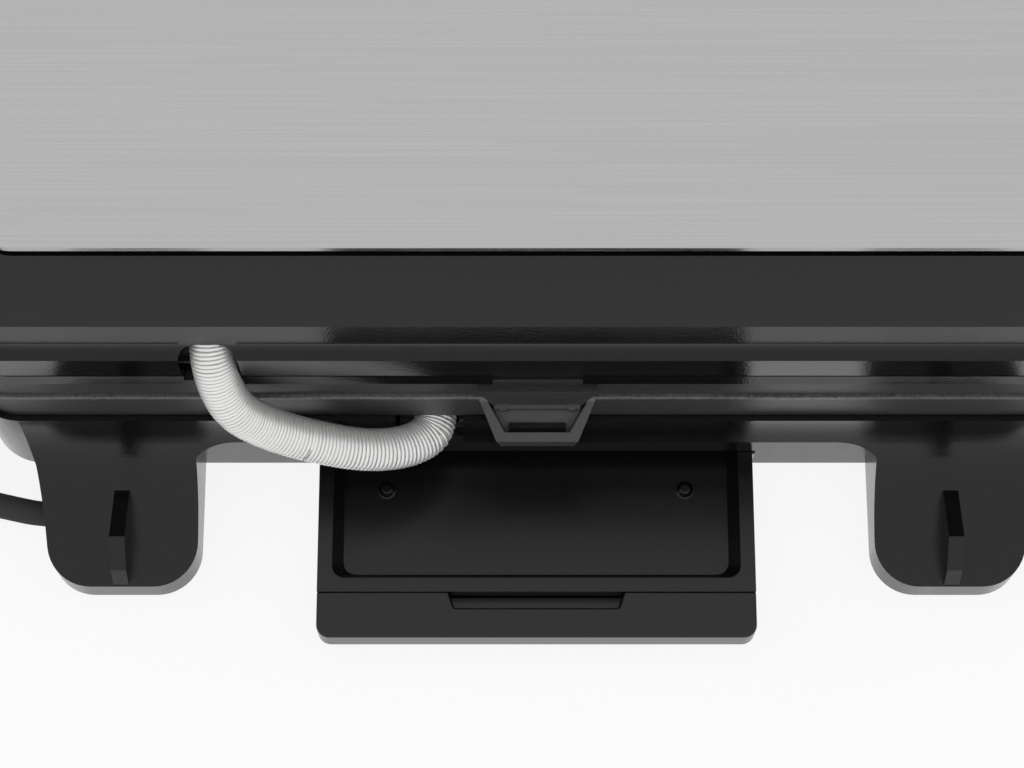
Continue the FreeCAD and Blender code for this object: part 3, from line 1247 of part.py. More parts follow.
def make_handle():
    centre = s.grip_radius - s.handle_reach
    screws = []
    for side, name in ((-1, "right"), (1, "left")):
        middle = s.bracket_place * side
        left, right = middle - s.bracket_width / 2, middle + s.bracket_width / 2
        body = new_body(f"handle_bracket_{name}")

        def draw_bracket(sketch):
            low, high = s.bracket_low, s.bracket_high
            near = centre + s.grip_radius
            polygon(sketch, ((fascia_front(low), low), (fascia_front(high), high),
                             (near, s.grip_level + s.bracket_half), (centre, s.grip_level + s.bracket_half),
                             (centre, s.grip_level - s.bracket_half), (near, s.grip_level - s.bracket_half)))

        prism(body, "Pad", "arm", "YZ", left, right, draw_bracket)
        prism(body, "Pocket", "grip_seat", "YZ", left - 1, right + 1,
              lambda sketch: circle(sketch, centre, s.grip_level, s.grip_radius))
        seat = fascia_inside(s.grip_level + s.screw_head_radius)
        tip = fascia_front(s.grip_level) - s.handle_screw_grip
        prism(body, "Pocket", "screw_bore", "XZ", tip, seat,
              lambda sketch: circle(sketch, middle, s.grip_level, s.screw_radius))
        node(body, f"handle_bracket_{name}")
        head = rod(f"handle_screw_head_{name}", "Y", middle, seat, s.grip_level,
                   s.screw_head_radius, s.screw_head_height)
        shank = rod(f"handle_screw_shank_{name}", "Y", middle, tip, s.grip_level, s.screw_radius, seat - tip)
        screws.append(join(f"handle_screw_{name}", [head, shank]))
    node(group("handle_screw_group", screws), "handle_screws")
    body = new_body("handle_grip")
    half = s.grip_half_length
    prism(body, "Pad", "bar", "YZ", -half, half,
          lambda sketch: circle(sketch, centre, s.grip_level, s.grip_radius))
    reach = half.value
    round_edges(body, "Fillet", "ends", "Radius", s.grip_end_round,
                lambda edge: edge.BoundBox.XLength < 0.01 and abs(abs(edge.BoundBox.XMin) - reach) < 0.01)
    node(body, "handle_grip")


# ---------------------------------------------------------------- hinge

ARM_IN = s.body_half_width + s.arm_gap
ARM_OUT = ARM_IN + s.arm_thickness
TOWER_IN = ARM_OUT + s.tower_gap
TOWER_OUT = TOWER_IN + s.tower_thickness


def across(side, near, far):
    """A span on one side of the grill, as a rising pair."""
    return (near, far) if side > 0 else (-far, -near)


def make_hinge(side, name):
    low, high = across(side, TOWER_IN, TOWER_OUT)
    block_low = s.hinge_level - s.block_half_height
    slot_top = s.hinge_level + s.block_half_height + s.float_travel + s.block_gap

    def draw_tower(sketch):
        polygon(sketch, ((s.tower_front, s.tower_foot_low), (s.tower_foot_back, s.tower_foot_low),
                         (s.tower_back, block_low - s.block_half_height), (s.tower_back, s.tower_top),
                         (s.hinge_back * 2 - s.tower_back, s.tower_top),
                         (s.tower_foot_back, s.hinge_level), (s.tower_front, s.tower_foot_high)))

    tower = new_body(f"hinge_tower_{name}")
    prism(tower, "Pad", "plate", "YZ", low, high, draw_tower)
    foot_low, foot_high = across(side, s.body_half_width, TOWER_IN)
    prism(tower, "Pad", "foot", "YZ", foot_low, foot_high,
          box_outline(s.tower_front, s.tower_foot_back, s.tower_foot_low, s.tower_foot_high))
    prism(tower, "Pocket", "slot", "YZ", low - 1, high + 1,
          box_outline(s.hinge_back - s.block_half_depth - s.block_gap,
                      s.hinge_back + s.block_half_depth + s.block_gap, block_low - s.block_gap, slot_top))
    screw_y = (s.tower_front + s.screw_head_radius * 2, s.tower_foot_back - s.screw_head_radius * 2)
    screw_z = (s.tower_foot_low + s.tower_foot_high) / 2

    def draw_screw_holes(sketch):
        for y in screw_y:
            circle(sketch, y, screw_z, s.screw_radius)

    hole_low, hole_high = across(side, s.body_half_width - 1, TOWER_OUT + 1)
    prism(tower, "Pocket", "screw_holes", "YZ", hole_low, hole_high, draw_screw_holes)
    node(tower, f"hinge_tower_{name}")
    screws = []
    for number, y in enumerate(screw_y, start=1):
        start = TOWER_OUT if side > 0 else -TOWER_OUT - s.screw_head_height
        head = rod(f"tower_screw_head_{name}_{number}", "X", start, y, screw_z, s.screw_head_radius,
                   s.screw_head_height)
        inner, outer = across(side, s.body_half_width, TOWER_OUT)
        shank = rod(f"tower_screw_shank_{name}_{number}", "X", inner, y, screw_z, s.screw_radius,
                    outer - inner)
        screws.append(join(f"tower_screw_{name}_{number}", [head, shank]))

    slide = new_body(f"hinge_slide_{name}")
    prism(slide, "Pad", "block", "YZ", low, high,
          box_outline(s.hinge_back - s.block_half_depth, s.hinge_back + s.block_half_depth, block_low,
                      s.hinge_level + s.block_half_height))
    bore = s.pin_radius + s.pin_gap
    prism(slide, "Pocket", "bore", "YZ", low - 1, high + 1,
          lambda sketch: circle(sketch, s.hinge_back, s.hinge_level, bore))
    node(slide, f"hinge_slide_{name}")

    inner, outer = across(side, ARM_IN, TOWER_OUT)
    shaft = rod(f"pin_shaft_{name}", "X", inner, s.hinge_back, s.hinge_level, s.pin_radius, outer - inner)
    cap_start = TOWER_OUT if side > 0 else -TOWER_OUT - s.pin_cap_height
    cap = rod(f"pin_cap_{name}", "X", cap_start, s.hinge_back, s.hinge_level, s.pin_cap_radius,
              s.pin_cap_height)
    node(join(f"pin_{name}", [shaft, cap]), f"hinge_pin_{name}")

    arm = new_body(f"hinge_arm_{name}")
    arm_low, arm_high = across(side, ARM_IN, ARM_OUT)

    def draw_arm(sketch):
        eye = s.arm_eye
        y, z = s.hinge_back, s.hinge_level
        polygon(sketch, ((s.arm_front, s.arm_low), (y - s.arm_step, s.arm_low), (y - eye, z - eye / 2),
                         (y - eye / 2, z - eye), (y + eye / 2, z - eye), (y + eye, z - eye / 2),
                         (y + eye, z + eye / 2), (y - s.arm_neck, s.arm_high), (s.arm_front, s.arm_high)))

    prism(arm, "Pad", "plate", "YZ", arm_low, arm_high, draw_arm)
    boss_low, boss_high = across(side, s.body_half_width - s.tier_inset, ARM_IN)
    boss_end = s.hinge_back - s.arm_boss_gap
    prism(arm, "Pad", "boss", "YZ", boss_low, boss_high,
          box_outline(s.arm_front, boss_end, s.arm_low, s.arm_high))
    prism(arm, "Pocket", "eye_bore", "YZ", arm_low - 1, arm_high + 1,
          lambda sketch: circle(sketch, s.hinge_back, s.hinge_level, bore))
    arm_screw_z = (s.arm_low + s.arm_high) / 2
    arm_screw_y = (s.arm_front + s.screw_head_radius * 2, boss_end - s.screw_head_radius * 2)

    def draw_arm_holes(sketch):
        for y in arm_screw_y:
            circle(sketch, y, arm_screw_z, s.screw_radius)

    hole_low, hole_high = across(side, s.body_half_width - s.tier_inset - 1, ARM_OUT + 1)
    prism(arm, "Pocket", "arm_screw_holes", "YZ", hole_low, hole_high, draw_arm_holes)
    node(arm, f"hinge_arm_{name}")
    arm_screws = []
    for number, y in enumerate(arm_screw_y, start=1):
        start = ARM_OUT if side > 0 else -ARM_OUT - s.screw_head_height
        head = rod(f"arm_screw_head_{name}_{number}", "X", start, y, arm_screw_z, s.screw_head_radius,
                   s.screw_head_height)
        inner, outer = across(side, s.body_half_width - s.tier_inset, ARM_OUT)
        shank = rod(f"arm_screw_shank_{name}_{number}", "X", inner, y, arm_screw_z, s.screw_radius,
                    outer - inner)
        arm_screws.append(join(f"arm_screw_{name}_{number}", [head, shank]))
    return screws, arm_screws


def make_hinges():
    tower_screws, arm_screws = [], []
    for side, name in ((-1, "right"), (1, "left")):
        towers, arms = make_hinge(side, name)
        tower_screws += towers
        arm_screws += arms
    node(group("tower_screw_group", tower_screws), "hinge_tower_screws")
    node(group("arm_screw_group", arm_screws), "hinge_arm_screws")


# ---------------------------------------------------------------- controls

def make_controls():
    front = -s.wall_front
    body = new_body("control_panel")
    prism(body, "Pad", "plate", "XZ", front - s.panel_thickness, front,
          lambda sketch: rounded_rectangle(sketch, -s.panel_half_width, s.panel_half_width, s.panel_low,
                                           s.panel_high, s.panel_corner))

    def draw_holes(sketch):
        circle(sketch, 0, s.knob_level, s.spindle_radius + s.spindle_gap)
        for side in (-1, 1):
            circle(sketch, s.lamp_place * side, s.knob_level, s.lamp_radius)

    prism(body, "Pocket", "holes", "XZ", front - s.panel_thickness - 1, front + 1, draw_holes)
    node(body, "control_panel")
    face = front - s.panel_thickness
    for side, name in ((-1, "ready"), (1, "power")):
        stem = rod(f"{name}_lamp_stem", "Y", s.lamp_place * side, face, s.knob_level, s.lamp_radius,
                   s.lamp_depth)
        lens = DOC.addObject("Part::Sphere", f"{name}_lamp_lens")
        bind(lens, "Radius", s.lamp_radius)
        lens.Angle1 = 0
        lens.Placement = FreeCAD.Placement(FreeCAD.Vector(), FreeCAD.Rotation(FreeCAD.Vector(1, 0, 0), 90))
        place(lens, s.lamp_place * side, face, s.knob_level)
        node(join(f"{name}_lamp_whole", [stem, lens]), f"{name}_lamp")

    back = face - s.knob_gap
    knob = new_body("thermostat_knob")
    prism(knob, "Pad", "disc", "XZ", back - s.knob_depth + s.knob_ridge_depth, back,
          lambda sketch: circle(sketch, 0, s.knob_level, s.knob_radius))
    ridge = s.knob_radius - 1
    half = s.knob_ridge_half
    prism(knob, "Pad", "ridge", "XZ", back - s.knob_depth, back - s.knob_depth + s.knob_ridge_depth,
          box_outline(-half, half, s.knob_level - ridge, s.knob_level + ridge))
    bore_end = back - s.knob_depth + s.knob_ridge_half
    prism(knob, "Pocket", "bore", "XZ", bore_end, back,
          lambda sketch: circle(sketch, 0, s.knob_level, s.spindle_radius))
    node(knob, "thermostat_knob")
    inside = front + s.shell_wall + s.spindle_gap
    spindle = rod("spindle_bar", "Y", 0, bore_end, s.knob_level, s.spindle_radius, inside - bore_end)
    node(spindle, "thermostat_spindle")
    bracket = s.thermostat_width / 2
    case = block("thermostat_case", -bracket, bracket, inside + s.spindle_gap, inside + s.thermostat_depth,
                 s.knob_level - s.thermostat_height / 2, s.knob_level + s.thermostat_height / 2)
    feet = [block(f"thermostat_foot_{side + 2}", (bracket - s.shell_wall) * side - s.shell_wall,
                  (bracket - s.shell_wall) * side + s.shell_wall, front + s.shell_wall,
                  inside + s.spindle_gap, s.knob_level - s.boss_radius, s.knob_level + s.boss_radius)
            for side in (-1, 1)]
    node(join("thermostat_whole", [case] + feet), "thermostat")


def strayed(start, finish, steps):
    """Points between two places: each step gives its share of the way and how far it strays from it."""
    points = [start]
    for share, strays in steps:
        points.append(tuple(near + (far - near) * share + stray
                            for near, far, stray in zip(start, finish, strays)))
    return tuple(points) + (finish,)


def make_wiring():
    left = s.body_half_width - s.terminal_inset
    front = s.wall_rear - s.terminal_back_inset
    back = front + s.terminal_depth
    top = COVER_TOP + s.terminal_height
    case = block("terminal_case", left, left + s.terminal_width, front, back, COVER_TOP, top)
    node(case, "terminal_block")
    level = COVER_TOP + s.terminal_height / 2
    middle = left + s.terminal_width / 2
    radius = s.lead_radius
    route = strayed((RELIEF_ROOT - s.gland_width / 2, s.wall_rear, s.cord_level), (middle, back, level),
                    ((0.35, (0.5, 0.0, -0.2)), (0.675, (-0.4, 0.0, 0.3))))
    node(tube("mains_lead_tube", route, radius), "mains_lead")
    route = strayed(CONDUIT_LOW_END, (left + s.terminal_width / 4, back - radius * 3, top),
                    ((0.1, (-7.0, -13.9, 1.1)), (0.25, (-5.4, -24.7, 2.5)), (0.45, (-0.1, -26.1, 5.3)),
                     (0.7, (1.5, -18.4, 9.5)), (0.9, (0.8, -8.4, 8.6))))
    node(tube("heater_lead_tube", route, radius), "conduit_lead")
    spindle_end = s.shell_wall + s.spindle_gap + s.thermostat_depth - s.wall_front
    route = strayed((as_size(0), spindle_end, s.knob_level), (middle, front, level),
                    ((0.1, (-9.9, 3.5, 2.4)), (0.22, (-12.1, 7.8, 5.7)), (0.38, (-7.3, 5.6, 8.9)),
                     (0.56, (0.2, 1.1, 11.3)), (0.74, (7.6, -3.4, 10.9)), (0.88, (8.7, -4.3, 5.6))))
    node(tube("control_lead_tube", route, radius), "thermostat_lead")
    route = strayed(UPPER_ROUTE[0], (s.cutout_radius - s.element_open, as_size(0), CUTOUT_LEVEL),
                    ((0.15, (15.1, -4.5, 1.3)), (0.3, (21.8, -11.0, 0.5)), (0.48, (22.9, -12.8, -0.9)),
                     (0.7, (22.7, -9.0, -1.8)), (0.88, (15.9, -4.8, -1.4))))
    node(tube("head_lead_tube", route, radius), "head_lead")


# ---------------------------------------------------------------- conduit

CONDUIT_LOW = s.plate_seat - s.conduit_radius - s.conduit_clearance
CONDUIT_LOW_END = (s.clamp_place, s.wall_rear - s.shell_wall - s.clamp_depth, CONDUIT_LOW)
# steps from the head down to the middle: from the notch's middle, behind the back wall, over the underside
UPPER_STEPS = ((-0.5, -25.0, 27.5), (-0.6, -15.6, 25.0), (-0.6, -6.9, 18.2), (-1.6, -0.5, 8.6),
               (-5.1, 4.9, -1.6), (-11.3, 6.8, -10.2), (-20.6, 8.2, -18.0))
# steps from the middle down to the clamp: from the clamp's middle, behind the back wall, over its level
LOWER_STEPS = ((33.6, 9.2, 14.4), (22.8, 9.7, 9.6), (13.4, 8.3, 5.6), (5.6, 5.1, 2.2), (0.0, -0.4, 0.0))
UPPER_ROUTE = tuple((s.upper_notch_place + x, s.wall_rear + y, s.head_bottom + z) for x, y, z in UPPER_STEPS)
LOWER_ROUTE = tuple((s.clamp_place + x, s.wall_rear + y, CONDUIT_LOW + z) for x, y, z in LOWER_STEPS)
LOWER_ROUTE += (CONDUIT_LOW_END,)


def make_conduit():
    """The conduit is one spring; its lower and upper halves are two nodes that meet face to face."""
    split = tuple((above + below) / 2 for above, below in zip(UPPER_ROUTE[-1], LOWER_ROUTE[0]))
    upper = tube("conduit_upper", UPPER_ROUTE + (split,), s.conduit_radius)
    lower = tube("conduit_lower", (split,) + LOWER_ROUTE, s.conduit_radius)
    node(upper, "conduit_upper_half")
    node(lower, "conduit_lower_half")

    inner = s.wall_rear - s.shell_wall
    middle = s.clamp_place
    saddle = block("saddle", middle - s.clamp_half, middle + s.clamp_half, inner - s.clamp_depth, inner,
                   s.clamp_floor, CONDUIT_LOW)
    groove = rod("saddle_groove", "Y", middle, inner - s.clamp_depth - 1, CONDUIT_LOW,
                 s.conduit_radius + s.pin_gap, s.clamp_depth + 2)
    node(cut("saddle_cut", saddle, [groove]), "conduit_clamp")
    wall = s.wall_rear - s.head_cavity_inset
    half = s.upper_notch_half
    edge = s.grommet_edge
    frame = block("grommet_frame", s.upper_notch_place - half - edge, s.upper_notch_place + half + edge,
                  wall - s.grommet_depth, wall, GROOVE_LOW + s.reflector_sheet,
                  COVE_LOW - s.shell_wall)
    window = block("grommet_window", s.upper_notch_place - half, s.upper_notch_place + half,
                   wall - s.grommet_depth - 1, wall + 1, GROOVE_LOW + s.reflector_sheet + s.grommet_sill,
                   COVE_LOW)
    node(cut("grommet_cut", frame, [window]), "conduit_grommet")


# ---------------------------------------------------------------- mains cord

CORD_FLOOR = s.cord_radius + s.coil_floor_gap
RELIEF_TIP = RELIEF_ROOT + s.relief_length
COIL_PLACE = s.body_half_width + s.coil_out
COIL_UPPER_LEVEL = CORD_FLOOR + s.coil_rise
PLUG_TAIL = s.body_half_width + s.plug_out
# steps from the strain relief to the coil: out from the relief, behind the cord's line, over the floor run
CORD_STEPS = ((10.5, -0.1, 4.8), (21.5, -2.7, 3.6), (33.0, -5.9, 1.8), (47.0, -7.7, 0.6), (65.0, -7.9, 0.0),
              (85.0, -6.7, 0.0), (107.0, -5.4, 0.0), (130.0, -5.0, 0.0))
# steps from the coil to the plug: out from the plug, behind its axis, over its axis
TAIL_STEPS = ((43.0, -0.3, -2.1), (28.5, 0.3, -1.0), (14.5, 0.1, -0.2))
CORD_ROUTE = ((RELIEF_TIP, s.cord_line, s.cord_level),) + tuple(
    (RELIEF_TIP + x, s.cord_line + y, CORD_FLOOR + z) for x, y, z in CORD_STEPS) + (
    (COIL_PLACE, s.coil_back + s.coil_radius + s.cord_radius, CORD_FLOOR),)
TAIL_ROUTE = ((COIL_PLACE, s.coil_back - s.coil_radius, COIL_UPPER_LEVEL),) + tuple(
    (PLUG_TAIL + x, s.plug_back + y, s.plug_level + z) for x, y, z in TAIL_STEPS) + (
    (PLUG_TAIL, s.plug_back, s.plug_level),)


def make_cord():
    axis = s.cord_line
    relief = cone("relief_cone", "X", RELIEF_ROOT, axis, s.cord_level, s.relief_root_radius,
                  s.relief_tip_radius, s.relief_length)
    node(relief, "cord_strain_relief")
    gland_left = RELIEF_ROOT - s.gland_width
    body = block("gland_block", gland_left, RELIEF_ROOT, s.wall_rear, axis + s.relief_root_radius / 2,
                 s.underside, s.underside + s.gland_height)
    node(body, "cord_gland")
    node(tube("cord_tube", CORD_ROUTE, s.cord_radius), "mains_cord")
    turn = s.cord_radius * 2
    floor = s.coil_floor_gap
    low = rod("coil_low", "Z", COIL_PLACE, s.coil_back, floor, s.coil_radius + turn, turn)
    high = rod("coil_high", "Z", COIL_PLACE, s.coil_back, turn, s.coil_radius + s.cord_radius,
               COIL_UPPER_LEVEL + s.cord_radius - turn)
    low_core = rod("coil_low_core", "Z", COIL_PLACE, s.coil_back, -1, s.coil_radius - turn, turn * 3)
    high_core = rod("coil_high_core", "Z", COIL_PLACE, s.coil_back, turn + floor,
                    s.coil_radius - s.cord_radius, turn * 3)
    node(cut("coil_ring", join("coil_layers", [low, high]), [low_core, high_core]), "cord_coil")
    node(tube("cord_tail_tube", TAIL_ROUTE, s.cord_radius), "mains_cord_tail")


def make_plug():
    back = PLUG_TAIL - s.plug_length
    body = new_body("plug_body")
    prism(body, "Pad", "shell", "YZ", back, PLUG_TAIL,
          lambda sketch: rounded_rectangle(sketch, s.plug_back - s.plug_half_width,
                                           s.plug_back + s.plug_half_width,
                                           s.plug_level - s.plug_half_height,
                                           s.plug_level + s.plug_half_height, s.plug_corner))
    node(body, "mains_plug")
    pins = [rod(f"plug_pin_{side + 2}", "X", back - s.plug_pin_length,
                s.plug_back + s.plug_pin_spread * side, s.plug_level, s.plug_pin_radius, s.plug_pin_length)
            for side in (-1, 1)]
    node(group("plug_pin_group", pins), "plug_pins")


make_bottom_cover()
make_feet()
make_tray_bay()
make_drip_tray()
make_tray_front()
make_lower_plate()
make_upper_plate()
make_elements()
make_reflectors()
make_upper_housing()
make_lid_cover()
make_handle()
make_hinges()
make_controls()
make_wiring()
make_conduit()
make_cord()
make_plug()


def write_parts():
    """Checks every object of the document, then writes one file for each sub-part."""
    DOC.recompute()
    failed = [item.Name for item in DOC.Objects if "Invalid" in item.State or "Error" in item.State]
    for item in NODES:
        if item.Shape.isNull() or not item.Shape.isValid() or not item.Shape.Solids:
            failed.append(item.Label)
    if failed:
        raise RuntimeError("failed: " + ", ".join(failed))
    os.makedirs("parts", exist_ok=True)
    for item in NODES:
        item.Shape.exportStep(f"parts/{item.Label}.step")
        print(f"{item.Label}: {len(item.Shape.Solids)} solids, {item.Shape.Volume:.0f} mm3")


write_parts()
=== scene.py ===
"""Electric contact grill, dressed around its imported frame.

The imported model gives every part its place. This script adds what the solids leave out: softened
edges, a wound wire conduit, a coiled mains lead, dial marks and procedural finishes. All lengths are
in metres: +Z is up, +Y is the back where the drip tray slides out, and the floor is Z = 0.
"""

import json
import logging
import math
from dataclasses import dataclass, field
from enum import Enum
from typing import Callable, Sequence, Union

import bmesh
import bpy
from mathutils import Matrix, Vector

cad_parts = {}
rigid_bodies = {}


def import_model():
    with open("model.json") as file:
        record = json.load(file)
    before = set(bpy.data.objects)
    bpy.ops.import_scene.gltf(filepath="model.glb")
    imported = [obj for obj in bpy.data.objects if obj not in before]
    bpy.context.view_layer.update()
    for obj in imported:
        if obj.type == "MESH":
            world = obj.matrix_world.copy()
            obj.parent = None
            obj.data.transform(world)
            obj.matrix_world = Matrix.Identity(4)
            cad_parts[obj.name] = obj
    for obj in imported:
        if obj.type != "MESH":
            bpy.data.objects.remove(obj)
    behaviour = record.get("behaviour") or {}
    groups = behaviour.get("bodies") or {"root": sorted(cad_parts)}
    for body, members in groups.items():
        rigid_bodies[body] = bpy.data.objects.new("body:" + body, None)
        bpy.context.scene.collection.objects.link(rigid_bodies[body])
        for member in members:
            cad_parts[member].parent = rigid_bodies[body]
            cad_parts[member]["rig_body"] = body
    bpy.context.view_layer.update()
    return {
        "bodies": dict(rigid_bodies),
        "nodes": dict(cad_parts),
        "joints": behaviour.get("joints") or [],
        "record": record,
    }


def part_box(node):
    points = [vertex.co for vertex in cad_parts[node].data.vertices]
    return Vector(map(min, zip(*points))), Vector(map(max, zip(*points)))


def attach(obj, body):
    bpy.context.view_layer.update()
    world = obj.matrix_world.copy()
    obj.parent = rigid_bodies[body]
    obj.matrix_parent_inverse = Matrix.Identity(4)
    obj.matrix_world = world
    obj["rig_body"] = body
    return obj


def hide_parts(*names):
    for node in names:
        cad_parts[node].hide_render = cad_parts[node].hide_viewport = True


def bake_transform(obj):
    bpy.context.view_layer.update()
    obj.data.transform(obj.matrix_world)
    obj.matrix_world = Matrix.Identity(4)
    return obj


LOG = logging.getLogger("contact_grill")
MM = 0.001
Point = tuple[float, float, float]
Colour = tuple[float, float, float]


# ------------------------------------------------------------------ shader expressions

class Signal:
    """One output socket of a node tree, on which Python sums and products add Math nodes."""

    def __init__(self, graph: "Graph", socket: bpy.types.NodeSocket) -> None:
        """Wraps a socket of a graph."""
        self.graph = graph
        self.socket = socket

    def maths(self, operation: str, *others: "Operand") -> "Signal":
        """Adds one Math node.

        Args:
            operation: Name of the Math node's operation.
            *others: The values after this one.

        Returns:
            The result as a new signal.
        """
        return self.graph.maths(operation, self, *others)

    def __add__(self, other: "Operand") -> "Signal":
        """Sum."""
        return self.maths("ADD", other)

    def __radd__(self, other: "Operand") -> "Signal":
        """Sum with a number on the left."""
        return self.graph.maths("ADD", other, self)

    def __sub__(self, other: "Operand") -> "Signal":
        """Difference."""
        return self.maths("SUBTRACT", other)

    def __rsub__(self, other: "Operand") -> "Signal":
        """Difference with a number on the left."""
        return self.graph.maths("SUBTRACT", other, self)

    def __mul__(self, other: "Operand") -> "Signal":
        """Product."""
        return self.maths("MULTIPLY", other)

    def __rmul__(self, other: "Operand") -> "Signal":
        """Product with a number on the left."""
        return self.graph.maths("MULTIPLY", other, self)

    def __truediv__(self, other: "Operand") -> "Signal":
        """Quotient."""
        return self.maths("DIVIDE", other)

    def __rtruediv__(self, other: "Operand") -> "Signal":
        """Quotient with a number on the left."""
        return self.graph.maths("DIVIDE", other, self)

    def __pow__(self, other: "Operand") -> "Signal":
        """Power."""
        return self.maths("POWER", other)


Operand = Union[Signal, float, int]


class Graph:
    """A node tree under construction."""

    def __init__(self, tree: bpy.types.NodeTree) -> None:
        """Empties the tree."""
        self.tree = tree
        tree.nodes.clear()

    def node(self, kind: str, settings: dict | None = None, inputs: dict | None = None) -> bpy.types.Node:
        """Adds one node.

        Args:
            kind: The node's type name.
            settings: Properties that are set first; "stops" gives a colour ramp's stops.
            inputs: Socket names or numbers, with a value or a signal for each.

        Returns:
            The new node.
        """
        made = self.tree.nodes.new(kind)
        for name, value in (settings or {}).items():
            if name == "stops":
                self._set_stops(made.color_ramp, value)
            else:
                setattr(made, name, value)
        for name, value in (inputs or {}).items():
            if isinstance(value, Signal):
                self.tree.links.new(value.socket, made.inputs[name])
            else:
                made.inputs[name].default_value = value
        return made

    @staticmethod
    def _set_stops(ramp: bpy.types.ColorRamp, stops: Sequence[tuple[float, float]]) -> None:
        """Gives a ramp its grey stops."""
        while len(ramp.elements) < len(stops):
            ramp.elements.new(1.0)
        for element, (place, grey) in zip(ramp.elements, stops):
            element.position = place
            element.color = (grey, grey, grey, 1.0)

    def out(self, node: bpy.types.Node, name: Union[str, int] = 0) -> Signal:
        """An output of a node as a signal."""
        return Signal(self, node.outputs[name])

    def maths(self, operation: str, *values: Operand) -> Signal:
        """Adds a Math node for values or signals."""
        return self.out(self.node("ShaderNodeMath", {"operation": operation}, dict(enumerate(values))))

    def place(self, stretch: Point = (1.0, 1.0, 1.0)) -> Signal:
        """Object coordinates, stretched along the axes."""
        coordinates = self.node("ShaderNodeTexCoord")
        mapped = self.node("ShaderNodeMapping", {}, {"Vector": self.out(coordinates, "Object"),
                                                     "Scale": stretch})
        return self.out(mapped, "Vector")

    def axis(self, name: str) -> Signal:
        """One object coordinate, in metres."""
        coordinates = self.node("ShaderNodeTexCoord")
        parts = self.node("ShaderNodeSeparateXYZ", {}, {"Vector": self.out(coordinates, "Object")})
        return self.out(parts, name)

    def noise(self, scale: float, detail: float = 3.0, stretch: Point = (1.0, 1.0, 1.0)) -> Signal:
        """Noise from 0 to 1 on object coordinates.

        Args:
            scale: Cells in a metre.
            detail: Octaves.
            stretch: Extra scale along each axis.

        Returns:
            The noise value.
        """
        made = self.node("ShaderNodeTexNoise", {"noise_dimensions": "3D"},
                         {"Vector": self.place(stretch), "Scale": scale, "Detail": detail})
        return self.out(made, 0)

    def step(self, value: Signal, low: float, high: float) -> Signal:
        """A smooth step from 0 at low to 1 at high."""
        made = self.node("ShaderNodeMapRange", {"interpolation_type": "SMOOTHSTEP"},
                         {"Value": value, "From Min": low, "From Max": high})
        return self.out(made, 0)

    def tint(self, factor: Operand, low: Colour, high: Colour) -> Signal:
        """A colour between two colours."""
        made = self.node("ShaderNodeMix", {"data_type": "RGBA"}, {0: factor, 6: (*low, 1.0), 7: (*high, 1.0)})
        return self.out(made, 2)

    def bump(self, height: Signal, depth: float, strength: float = 1.0) -> Signal:
        """A normal that is bumped by a height.

        Args:
            height: The height, from 0 to 1.
            depth: Metres from the lowest to the highest place.
            strength: How much of the bump is used.

        Returns:
            The bumped normal.
        """
        made = self.node("ShaderNodeBump", {}, {"Height": height, "Distance": depth, "Strength": strength})
        return self.out(made, 0)


# ------------------------------------------------------------------ finishes

def scaled(colour: Colour, factor: float) -> Colour:
    """A colour made lighter or darker."""
    return tuple(min(1.0, part * factor) for part in colour)


@dataclass(frozen=True)
class Finish:
    """A surface finish; each kind fills in its own nodes."""

    name: str
    colour: Colour
    roughness: float

    def material(self) -> bpy.types.Material:
        """The material of this finish, made once."""
        found = bpy.data.materials.get(self.name)
        if found is not None:
            return found
        made = bpy.data.materials.new(self.name)
        made.use_nodes = True
        graph = Graph(made.node_tree)
        shader = graph.node("ShaderNodeBsdfPrincipled", {}, self.sockets(graph))
        graph.node("ShaderNodeOutputMaterial", {}, {"Surface": graph.out(shader)})
        made.diffuse_color = (*self.colour, 1.0)
        return made

    def sockets(self, graph: Graph) -> dict:
        """Values and links of the shader's sockets."""
        raise NotImplementedError


@dataclass(frozen=True)
class Moulding(Finish):
    """Moulded plastic with a fine eroded grain."""

    grain: float = 0.00045
    depth: float = 0.00003
    coat: float = 0.0
    coat_roughness: float = 0.2
    streaks: float = 0.0
    specular: float = 0.5

    def sockets(self, graph: Graph) -> dict:
        """Dark colour that varies a little, grain in the normal, and flow streaks in the gloss."""
        cloud = graph.noise(22.0, 2.0)
        grain = graph.noise(1.0 / self.grain, 2.0)
        flow = graph.noise(9.0, 3.0, (28.0, 1.0, 5.0))
        rough = self.roughness + (cloud - 0.5) * 0.10 + (flow - 0.5) * self.streaks
        return {
            "Base Color": graph.tint(cloud, scaled(self.colour, 0.8), scaled(self.colour, 1.25)),
            "Roughness": rough,
            "Normal": graph.bump(grain, self.depth),
            "Coat Weight": self.coat,
            "Coat Roughness": self.coat_roughness,
            "Specular IOR Level": self.specular,
        }


@dataclass(frozen=True)
class BrushedSheet(Finish):
    """Metal sheet brushed along X."""

    line: float = 0.00035
    depth: float = 0.00004

    def sockets(self, graph: Graph) -> dict:
        """Long thin lines in the normal, the gloss and the colour, with soft clouds of wear."""
        lines = graph.noise(1.0 / self.line, 3.0, (0.004, 1.0, 1.0))
        broad = graph.noise(90.0, 3.0, (0.03, 1.0, 1.0))
        cloud = graph.noise(14.0, 2.0)
        mixed = lines * 0.7 + broad * 0.3
        return {
            "Base Color": graph.tint(mixed, scaled(self.colour, 0.86), scaled(self.colour, 1.12)),
            "Metallic": 1.0,
            "Roughness": self.roughness + (mixed - 0.5) * 0.16 + (cloud - 0.5) * 0.05,
            "Normal": graph.bump(lines, self.depth),
        }


